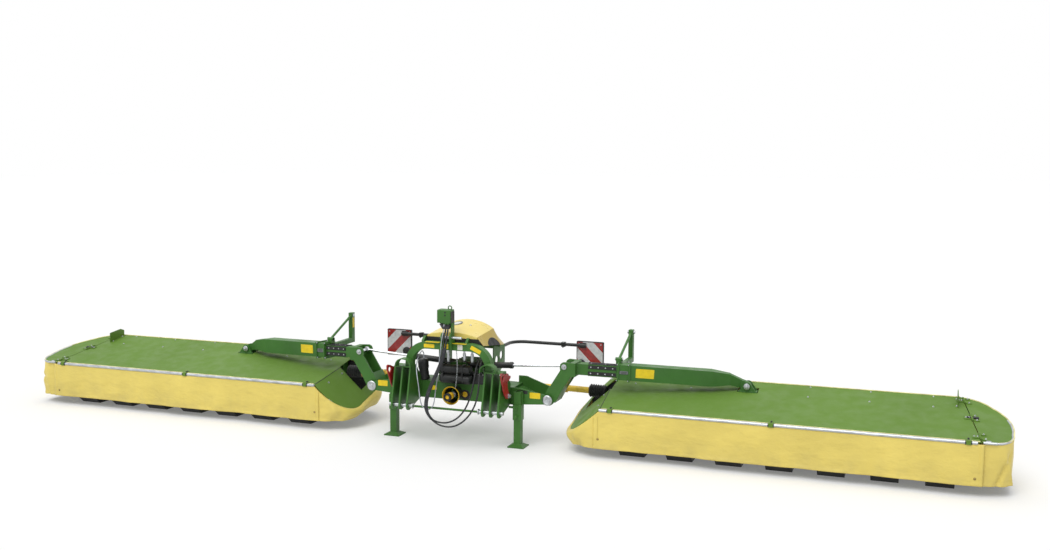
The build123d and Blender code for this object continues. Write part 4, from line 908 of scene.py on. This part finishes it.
def add_boom(sign, side):
    along, back, rise = (flip(sign, v) for v in (ALONG, BACK, RISE))
    strips = bmesh.new()
    bolts = bmesh.new()
    turn = Matrix((along, back, rise)).transposed()
    for b in (-0.030, 0.030):
        for v in (-1, 1):
            rounded_box(strips, boom(sign, 0.335, v * 0.05855, b), (0.136, 0.00305, 0.0165), turn, 0.0012)
            for a in (0.225, 0.295, 0.365, 0.435):
                lathe(bolts, boom(sign, a, v * 0.0612, b), back * v, SCREW_HEAD, 20)
    for v in (-0.030, 0.030):
        rounded_box(strips, boom(sign, 0.335, v, 0.0571), (0.136, 0.0165, 0.0031), turn, 0.0012)
        for a in (0.225, 0.365):
            lathe(bolts, boom(sign, a, v, 0.0597), rise, SCREW_HEAD, 20)
    finish("wear_strips", strips, "wing", RUBBER, side)
    for y, out in ((0.317 - 0.009, -1), (0.529 + 0.009, 1)):
        spot = place(sign * 1.105, y, 0.806)
        lathe(bolts, spot, (0, out, 0),
              ((0, 0.0265), (0.0025, 0.0265), (0.004, 0.022), (0.004, 0.009), (0.0032, 0.008)), 28)
        if out < 0:
            bolt(bolts, spot + Vector((0, -0.0038, 0)), (0, -1, 0), 0.013)
    finish("boom_bolts", bolts, "wing", ZINC, side)

    plates = bmesh.new()
    rounded_box(plates, boom(sign, 0.543, -0.0720, 0.0), (0.042, 0.003, 0.016), turn, 0.003)
    finish("slotted_plate", plates, "sleeve", GREY, side)
    # painted shade: dark strips on the plate stand in for the shade inside its slots
    slots = bmesh.new()
    for b in (-0.006, 0.006):
        foil(slots, boom(sign, 0.543, -0.0752, b), along * sign, rise, (0.058, 0.005), 0.0006, 0.0024)
    finish("plate_slot_shade", slots, "sleeve", DARK, side)
    labels = bmesh.new()
    foil(labels, boom(sign, 0.745, -0.0711, 0.004), along * sign, rise, (0.175, 0.088))
    foil(labels, place(sign * 1.5594, 1.030, 0.985), (0, -sign, 0), (0, 0, 1), (0.040, 0.11))
    finish("boom_labels", labels, "sleeve", YELLOW, side)
    fixings = bmesh.new()
    for a in (0.487, 0.597):
        for b in (-0.062, 0.062):
            for v in (-0.079, 0.079):
                bolt(fixings, boom(sign, a - 0.008, v, b * 1.24), along * -1, 0.007)
    for y, out in ((0.834 - 0.031, -1), (0.834 + 0.031, 1)):
        lathe(fixings, place(sign * TIP_X, y, TIP_Z), (0, out, 0), ((0, 0.0275), (0.0035, 0.027)), 28)
    for dx in (-0.034, 0.034):
        lathe(fixings, place(sign * (1.582 + dx), 0.570, 0.872), (1 if dx > 0 else -1, 0, 0),
              ((0, 0.014), (0.004, 0.014), (0.006, 0.009)), 20)
    for x in (1.5545, 1.6095):
        lathe(fixings, place(sign * x, 1.030, 1.067), (1 if x > 1.58 else -1, 0, 0),
              ((0, 0.017), (0.008, 0.017), (0.011, 0.012)), 20)
    finish("sleeve_fixings", fixings, "sleeve", ZINC, side)
    tip = bmesh.new()
    for out in (-1, 1):
        y = 0.8345 + out * 0.065
        lathe(tip, place(sign * TIP_X, y, TIP_Z), (0, out, 0),
              ((0, 0.031), (0.004, 0.030), (0.007, 0.024)), 28)
        bolt(tip, place(sign * TIP_X, y + out * 0.007, TIP_Z), (0, out, 0), 0.014)
    finish("tip_bolt", tip, "unit", ZINC, side)


def add_tip(sign, side):
    """Folded sheet that carries the boom's taper on to its tip, and a dark sheet under the shaft's slot,
    painted shade for the unit's inside seen through the slot.
    """
    bm = bmesh.new()
    inner = [boom(sign, 1.552, v, b) for v, b in rectangle(-0.0462, 0.0462, -0.0525, 0.0525)]
    outer = [place(sign * 2.716, y, z) for y, z in rectangle(0.8030, 0.8660, 0.634, 0.7135)]
    solid_between(bm, inner, outer)
    finish("boom_taper", bm, "sleeve", GREEN, side)
    # painted shade: a black sheet inside the unit, under the shaft's slot
    bm = bmesh.new()
    low, high = [], []
    for x in (1.235, 1.32, 1.42, 1.535):
        top = roof_z(x, 0.862) - 0.0075
        low.append((x, 0.20 + 0.3 * (x - 1.235)))
        high.append((x, top))
    outline = low + high[::-1]
    solid_between(bm, *([place(sign * x, y, z) for x, z in outline] for y in (0.860, 0.864)))
    finish("slot_shade_sheet", bm, "unit", RUBBER, side)


def add_roof_details(sign, side):
    bm = bmesh.new()
    for y in (0.215, 0.588, 0.950):
        for dx in (-0.042, -0.016):
            bolt(bm, place(sign * (hinge_x(y) + dx), y, cover_z(y) + 0.008), ROOF_UP, 0.007)
    for x, y in ((4.648, 0.83), (4.648, 0.99)):
        bolt(bm, place(sign * x, y, cover_z(y)), ROOF_UP, 0.008)
    for x in (1.70, 2.25, 3.35, 3.9, 4.45):
        bolt(bm, place(sign * x, 0.775, cover_z(0.775)), ROOF_UP, 0.0075)
        bolt(bm, place(sign * x, 1.005, cover_z(1.005)), ROOF_UP, 0.0075)
    for y in (0.30, 0.55, 0.95):
        x = in_x(y) - 0.05
        bolt(bm, place(sign * x, y, roof_z(x, y)), (-sign * TONGUE_SLOPE, -COVER_SLOPE, 1), 0.008)
    finish("cover_bolts", bm, "unit", ZINC, side)
    strap = bmesh.new()
    middle = place(sign * 4.775, 0.588, cover_z(0.588) + 0.009)
    up = Vector(ROOF_UP).normalized()
    rounded_box(strap, middle, (0.050, 0.016, 0.004), turned(up, (1, 0, 0)), 0.002)
    finish("hinge_strap", strap, "unit", RUBBER, side)
    # painted shade: a black line laid along the fold between the cover's tongue and its roof, where the crease
    # is
    crease = bmesh.new()
    line = [place(sign * in_x(y), y, cover_z(y) - 0.0004)
            for y in (0.13, 0.40, 0.59)]
    tube(crease, line, 0.0035, 8)
    finish("cover_crease_shade", crease, "unit", BLACK, side)
    bm = bmesh.new()
    for y in (0.215, 0.588, 0.950):
        for y_side in (y - 0.045, y + 0.045):
            bolt(bm, place(sign * (hinge_x(y_side) + 0.040), y_side, cover_z(y_side) + 0.008),
                 ROOF_UP, 0.007)
    finish("flap_bolts", bm, "flap", ZINC, side)


def add_boards():
    board_x, board_y, board_z = 1.095, 1.235, 0.763
    for sign, side in SIDES:
        bm = bmesh.new()
        for y, out in ((board_y - 0.014, -1), (board_y + 0.014, 1)):
            foil(bm, place(sign * board_x, y, board_z), (-out, 0, 0), (0, 0, 1), (0.276, 0.276), 0.0012, 0.014)
        finish("board_face", bm, "headstock", STRIPES, side)
        bm = bmesh.new()
        for dx in (-0.118, 0.118):
            for dz in (-0.118, 0.118):
                bolt(bm, place(sign * board_x + dx, board_y - 0.0152, board_z + dz), (0, -1, 0), 0.0055)
        for z, way in ((0.848, -1), (0.888, 1)):
            bolt(bm, place(sign * 0.816, 1.174, z + 0.004 * way), (0, 0, way), 0.008)
        finish("board_bolts", bm, "headstock", ZINC, side)
        bm = bmesh.new()
        spot = place(sign * (board_x - 0.145 + 0.054), board_y - 0.0155, board_z - 0.145 + 0.054)
        lathe(bm, spot, (0, -1, 0), ((0, 0.046), (0.010, 0.045), (0.014, 0.038), (0.0155, 0)), 36)
        finish("board_reflector", bm, "headstock", RUBBER, side)
        bm = bmesh.new()
        spot = place(sign * (board_x - 0.145 + 0.054), board_y + 0.026, board_z - 0.145 + 0.054)
        lathe(bm, spot, (0, 1, 0), ((0, 0.038), (0.002, 0.036), (0.003, 0)), 36)
        finish("board_lens", bm, "headstock", RED, side)


def add_arch_details():
    labels = bmesh.new()
    front, beam_face = 0.0600, 0.2847
    for x, z, w, h, tilt in ((-0.200, 0.968, 0.112, 0.036, 0), (-0.022, 0.974, 0.052, 0.048, 0),
                             (0.292, 0.958, 0.112, 0.040, -25)):
        across = (cos(radians(tilt)), 0, sin(radians(tilt)))
        up = (-sin(radians(tilt)), 0, cos(radians(tilt)))
        foil(labels, place(x, front, z), across, up, (w, h))
    for x in (-0.160, 0.120):
        foil(labels, place(x, front, 1.0082), (1, 0, 0), (0, 1, 0), (0.15, 0.055))
    for sign in (-1, 1):
        foil(labels, place(sign * 0.822, beam_face, 0.507), (1, 0, 0), (0, 0, 1), (0.108, 0.058))
    foil(labels, place(-0.255, beam_face, 0.505), (1, 0, 0), (0, 0, 1), (0.068, 0.044))
    finish("frame_labels", labels, "headstock", YELLOW)
    bm = bmesh.new()
    foil(bm, place(0.128, front, 0.972), (1, 0, 0), (0, 0, 1), (0.054, 0.050))
    finish("arch_plate", bm, "headstock", PALE)
    bm = bmesh.new()
    foil(bm, place(0.690, beam_face, 0.533), (1, 0, 0), (0, 0, 1), (0.112, 0.036))
    finish("beam_plate", bm, "headstock", DARK)
    bolts = bmesh.new()
    for sign in (-1, 1):
        spot = place(sign * 0.949, 0.285, 0.472)
        lathe(bolts, spot, (0, -1, 0), ((0, 0.050), (0.009, 0.050), (0.013, 0.046), (0.015, 0.036),
                                        (0.012, 0.030), (0.012, 0.012), (0.016, 0.011)), 40)
        rear = place(sign * 0.949, 0.561, 0.472)
        lathe(bolts, rear, (0, 1, 0), ((0, 0.048), (0.009, 0.048), (0.012, 0.044)), 40)
        bolt(bolts, rear + Vector((0, 0.012, 0)), (0, 1, 0), 0.016)
    finish("pivot_heads", bolts, "headstock", ZINC)


def stadium(bm, centre, turn, half, radius, wire, sides=8):
    """One chain link: two straights and two half circles."""
    line = []
    for start in (0, 180):
        for step in range(7):
            angle = radians(start - 90 + 30 * step)
            shift = half if start == 0 else -half
            line.append(Vector((shift + radius * cos(angle), radius * sin(angle), 0)))
    count = len(line)
    rings = []
    for k, point in enumerate(line):
        way = line[(k + 1) % count] - line[k - 1]
        way.normalize()
        out = Vector((way.y, -way.x, 0))
        rings.append([bm.verts.new(Vector(centre) + turn @ (point + out * wire * cos(2 * pi * q / sides)
                                                           + Vector((0, 0, wire * sin(2 * pi * q / sides)))))
                      for q in range(sides)])
    for k in range(count):
        band(bm, rings[k], rings[(k + 1) % count])


def add_chain():
    """Chain that keeps the guard from turning: from the guard's rim up to the arch."""
    bm = bmesh.new()
    low, high = place(0.052, 0.124, 0.556), place(0.092, 0.058, 0.932)
    count = 21
    for k in range(count):
        share = (k + 0.5) / count
        spot = low.lerp(high, share) + Vector((0.018, -0.012, 0)) * sin(pi * share)
        ahead = (high - low) + Vector((0.018, -0.012, 0)) * pi * cos(pi * share)
        turn = turned(ahead, (1, 0, 0))
        face = Matrix((turn.col[2], turn.col[0] if k % 2 else turn.col[1],
                       Vector(turn.col[2]).cross(turn.col[0] if k % 2 else turn.col[1]))).transposed()
        stadium(bm, spot, face, 0.0066, 0.0048, 0.0017)
    for spot in (low, high):
        lathe(bm, spot - Vector((0, 0, 0.006)), (0, 0, 1), ((0, 0.005), (0.012, 0.005)), 10)
    finish("guard_chain", bm, "headstock", ZINC, angle=60)


def holed_plate(bm, outer, hole, low_x, high_x, sign):
    """Upright plate along the machine with a hole: outlines are (y, z) rings."""
    layers = []
    for x in (low_x, high_x):
        loops = [[bm.verts.new(place(sign * x, y, z)) for y, z in outline] for outline in (outer, hole)]
        edges = [bm.edges.new((loop[k], loop[(k + 1) % len(loop)])) for loop in loops for k in range(len(loop))]
        bmesh.ops.triangle_fill(bm, use_beauty=True, use_dissolve=False, edges=edges)
        layers.append(loops)
    for low, high in zip(*layers):
        band(bm, low, high)


def add_hooks():
    """Red claw plates outside the lock hooks, and their pins."""
    claw = ((0.110, 0.494), (0.170, 0.503), (0.176, 0.520), (0.128, 0.577), (0.088, 0.622), (0.060, 0.662),
            (0.084, 0.672), (0.138, 0.664), (0.196, 0.688), (0.190, 0.706), (0.120, 0.724), (0.048, 0.742),
            (0.000, 0.762), (-0.045, 0.772), (-0.066, 0.764), (-0.064, 0.730), (-0.046, 0.692), (-0.012, 0.640),
            (0.014, 0.580), (0.052, 0.530))
    eye = ((-0.006, 0.744), (0.016, 0.732), (0.022, 0.716), (0.004, 0.690), (-0.012, 0.684), (-0.028, 0.700),
           (-0.038, 0.724), (-0.032, 0.740))
    for sign, side in SIDES:
        bm = bmesh.new()
        holed_plate(bm, claw, eye, 0.5925, 0.6035, sign)
        finish("lock_claw", bm, "headstock", RED, side)
        bm = bmesh.new()
        lathe(bm, place(sign * 0.6035, 0.138, 0.516), (sign, 0, 0),
              ((0, 0.024), (0.006, 0.024), (0.006, 0.016), (0.022, 0.016), (0.024, 0.013)), 28)
        finish("claw_pins", bm, "headstock", ZINC, side)


def add_couplers():
    """Parked hose couplings under the arch."""
    steel, caps = bmesh.new(), bmesh.new()
    for x, low in ((-0.012, 0.806), (0.158, 0.828), (0.240, 0.815)):
        lathe(steel, place(x, 0.100, 0.9385), (0, 0, -1),
              ((0, 0.020), (0.006, 0.020), (0.006, 0.010), (0.030, 0.010), (0.030, 0.0155), (0.052, 0.0155),
               (0.056, 0.013), (0.060, 0.0145), (0.9385 - low - 0.02, 0.0145), (0.9385 - low - 0.018, 0.011),
               (0.9385 - low - 0.010, 0.011)), 24)
        lathe(caps, place(x, 0.100, low + 0.012), (0, 0, -1),
              ((0, 0.0165), (0.012, 0.0165), (0.015, 0.012)), 24)
    finish("parked_couplings", steel, "headstock", ZINC)
    finish("coupling_caps", caps, "headstock", RUBBER)


def shaded_side_opening(bm, sign):
    """Dark arched sheet low on a side panel of the hood, laid on the panel's twisted face: painted shade
    standing in for a recess.
    """
    rim = Vector((0.330, 0.165, 0.981)), Vector((0.345, 0.600, 0.926))
    fold = Vector((0.262, 0.165, 1.062)), Vector((0.262, 0.600, 1.092))
    columns, rows = 18, 5
    layers = []
    for lift in (0.0004, 0.0024):
        grid = []
        for k in range(columns + 1):
            u = 0.30 + 0.66 * k / columns
            tall = 0.56 * max(0.04, sin(pi * (k + 0.4) / (columns + 0.8))) ** 0.6
            low, high = rim[0].lerp(rim[1], u), fold[0].lerp(fold[1], u)
            out = (rim[1] - rim[0]).cross(high - low).normalized()
            spots = [low.lerp(high, tall * row / rows) + out * lift for row in range(rows + 1)]
            grid.append([bm.verts.new(place(sign * spot.x, spot.y, spot.z)) for spot in spots])
        layers.append(grid)
        skin(bm, grid)
    inner, outer = layers
    for row in (0, rows):
        skin(bm, [[inner[k][row], outer[k][row]] for k in range(columns + 1)])
    for k in (0, columns):
        skin(bm, [[inner[k][row], outer[k][row]] for row in range(rows + 1)])


def add_box_details():
    """Tapered boot under the hose box, its dark side plate and the two sockets on its front."""
    bm = bmesh.new()
    high = [place(x, y, 1.1956) for x, y in rectangle(-0.078, 0.036, 0.034, 0.110)]
    low = [place(x, y, 1.150) for x, y in rectangle(-0.040, 0.030, 0.016, 0.048)]
    solid_between(bm, low, high)
    foil(bm, place(0.0450, 0.0715, 1.262), (0, 1, 0), (0, 0, 1), (0.088, 0.118), 0.0012, 0.012)
    for z in (1.283, 1.312):
        lathe(bm, place(-0.012, 0.0195, z), (0, -1, 0), ((0, 0.0085), (0.002, 0.0085), (0.003, 0.006)), 20)
    finish("box_boot", bm, "headstock", RUBBER)


def add_accumulators():
    """Two black pressure vessels on clamp plates in front of the beam, and the canister's padded jacket."""
    bm = bmesh.new()
    for z in (0.622, 0.718):
        lathe(bm, place(-0.160, 0.236, z), (1, 0, 0),
              ((0, 0.020), (0.006, 0.036), (0.016, 0.045), (0.030, 0.047), (0.150, 0.047), (0.152, 0.0485),
               (0.168, 0.0485), (0.170, 0.047), (0.310, 0.047), (0.324, 0.044), (0.334, 0.034),
               (0.340, 0.018)), 36)
    for x in (-0.115, 0.095):
        outline = ((0.187, 0.600), (0.230, 0.5735), (0.325, 0.5735), (0.325, 0.585), (0.284, 0.640),
                   (0.284, 0.766), (0.270, 0.772), (0.187, 0.772))
        solid_between(bm, *([place(x + half, y, z) for y, z in outline] for half in (-0.005, 0.005)))
    finish("accumulators", bm, "headstock", BLACK)
    bm = bmesh.new()
    low, high = place(-0.376, 0.330, 0.575), place(-0.392, 0.330, 0.782)
    reach = (high - low).length
    profile = [(0, 0), (0, 0.046)]
    for k in range(15):
        share = k / 14
        radius = 0.0515 + 0.0035 * sin(9 * share + 1.0) + 0.002 * sin(23 * share)
        profile.append((0.004 + (reach - 0.012) * share, radius))
    profile += [(reach - 0.003, 0.044), (reach, 0.030), (reach, 0)]
    lathe(bm, low, high - low, profile, 32)
    finish("canister_jacket", bm, "headstock", RUBBER)
    # painted shade: a thin black disc on the beam's face stands in for the shade inside an opening, round its
    # yellow cap
    bm = bmesh.new()
    lathe(bm, place(0.090, 0.2850, 0.457), (0, -1, 0), ((0, 0.052), (0.0015, 0.052)), 40)
    finish("beam_opening_shade", bm, "headstock", RUBBER)
    bm = bmesh.new()
    lathe(bm, place(0.086, 0.2834, 0.462), (0, -1, 0), ((0, 0.028), (0.003, 0.027), (0.005, 0.018)), 32)
    finish("opening_cap", bm, "headstock", GUARD)


def add_yoke():
    """Joint yoke on the input stub, with its black locking collar."""
    spot = place(0, 0.119, 0.474)
    bm = bmesh.new()
    lathe(bm, spot, (0, -1, 0), ((-0.012, 0.036), (0.012, 0.036), (0.020, 0.030)), 32)
    for dx in (-0.031, 0.031):
        rounded_box(bm, spot + Vector((dx, -0.030, 0)), (0.0075, 0.030, 0.020), corner=0.005)
    lathe(bm, spot + Vector((-0.046, -0.040, 0)), (1, 0, 0), ((0, 0.011), (0.092, 0.011)), 20)
    finish("input_yoke", bm, "input_shaft", GUARD)
    bm = bmesh.new()
    lathe(bm, spot + Vector((0, -0.052, 0)), (0, -1, 0),
          ((0, 0.034), (0.004, 0.039), (0.012, 0.040), (0.028, 0.040), (0.034, 0.036), (0.034, 0.023),
           (0.018, 0.022)), 36)
    finish("yoke_collar", bm, "input_shaft", RUBBER)
    bm = bmesh.new()
    lathe(bm, spot + Vector((0, -0.069, 0)), (0, -1, 0),
          ((0, 0.0205), (0.006, 0.020), (0.008, 0.013), (0.004, 0.012)), 32)
    finish("collar_bore", bm, "input_shaft", GUARD)


def add_link_caps():
    """Bent sheet hoods over the inner ends of the lower link brackets."""
    for sign, side in SIDES:
        bm = bmesh.new()
        rings = []
        for y in (-0.030, 0.052):
            corners = []
            for across, up, steps in ((0.084, 0.086, range(21)), (0.075, 0.077, range(20, -1, -1))):
                corners += [place(sign * (0.446 + across * cos(pi * k / 20)), y,
                                  0.754 + up * sin(pi * k / 20) ** 0.8) for k in steps]
            rings.append([bm.verts.new(p) for p in corners])
        band(bm, *rings)
        for ends in rings:
            for k in range(20):
                bm.faces.new((ends[k], ends[k + 1], ends[40 - k], ends[41 - k]))
        finish("link_cap", bm, "headstock", GREEN, side)


def add_hood_details():
    bm = bmesh.new()
    spot = place(-0.070, 0.453, 1.1405)
    tilt = Vector((-0.13, -0.1655, 1)).normalized()
    lathe(bm, spot, tilt, ((-0.012, 0.058), (0.004, 0.058), (0.007, 0.054), (0.007, 0.046),
                           (0.003, 0.044)), 48)
    finish("hood_badge_ring", bm, "headstock", GREY)
    bm = bmesh.new()
    lathe(bm, spot, tilt, ((0.002, 0.043), (0.0052, 0.042), (0.0062, 0.030)), 48)
    finish("hood_badge", bm, "headstock", PALE)
    bm = bmesh.new()
    lathe(bm, place(0.085, 0.430, 1.1330), (0, -0.13, 1), ((-0.006, 0.012), (0.006, 0.012), (0.009, 0.006)), 20)
    finish("hood_stud", bm, "headstock", ZINC)
    # painted shade: a dark strip stands in for the shade inside the hood's open front, and dark sheets for the
    # recesses in its side panels
    bm = bmesh.new()
    outline = ((-0.326, 0.986), (0.326, 0.986), (0.279, 1.044), (-0.279, 1.044))
    solid_between(bm, *([place(x, y, z) for x, z in outline] for y in (0.1615, 0.1648)))
    for sign, _ in SIDES:
        shaded_side_opening(bm, sign)
    finish("hood_recess_shade", bm, "headstock", RUBBER)
    bm = bmesh.new()
    for x in (-0.281, 0.178):
        outline = ((0.078, 1.0065), (0.148, 1.0065), (0.1605, 1.046), (0.140, 1.054))
        solid_between(bm, *([place(x + half, y, z) for y, z in outline] for half in (-0.012, 0.012)))
    finish("hood_tabs", bm, "headstock", GREEN)


add_camera()
add_stage()
add_cords()
for sign, side in SIDES:
    add_curtains(sign, side)
    add_rail(sign, side)
    add_boom(sign, side)
    add_tip(sign, side)
    add_roof_details(sign, side)
add_boards()
add_hooks()
add_couplers()
add_arch_details()
add_chain()
add_hood_details()
add_box_details()
add_accumulators()
add_yoke()
add_link_caps()

scene = bpy.context.scene
scene.view_settings.view_transform = "Standard"
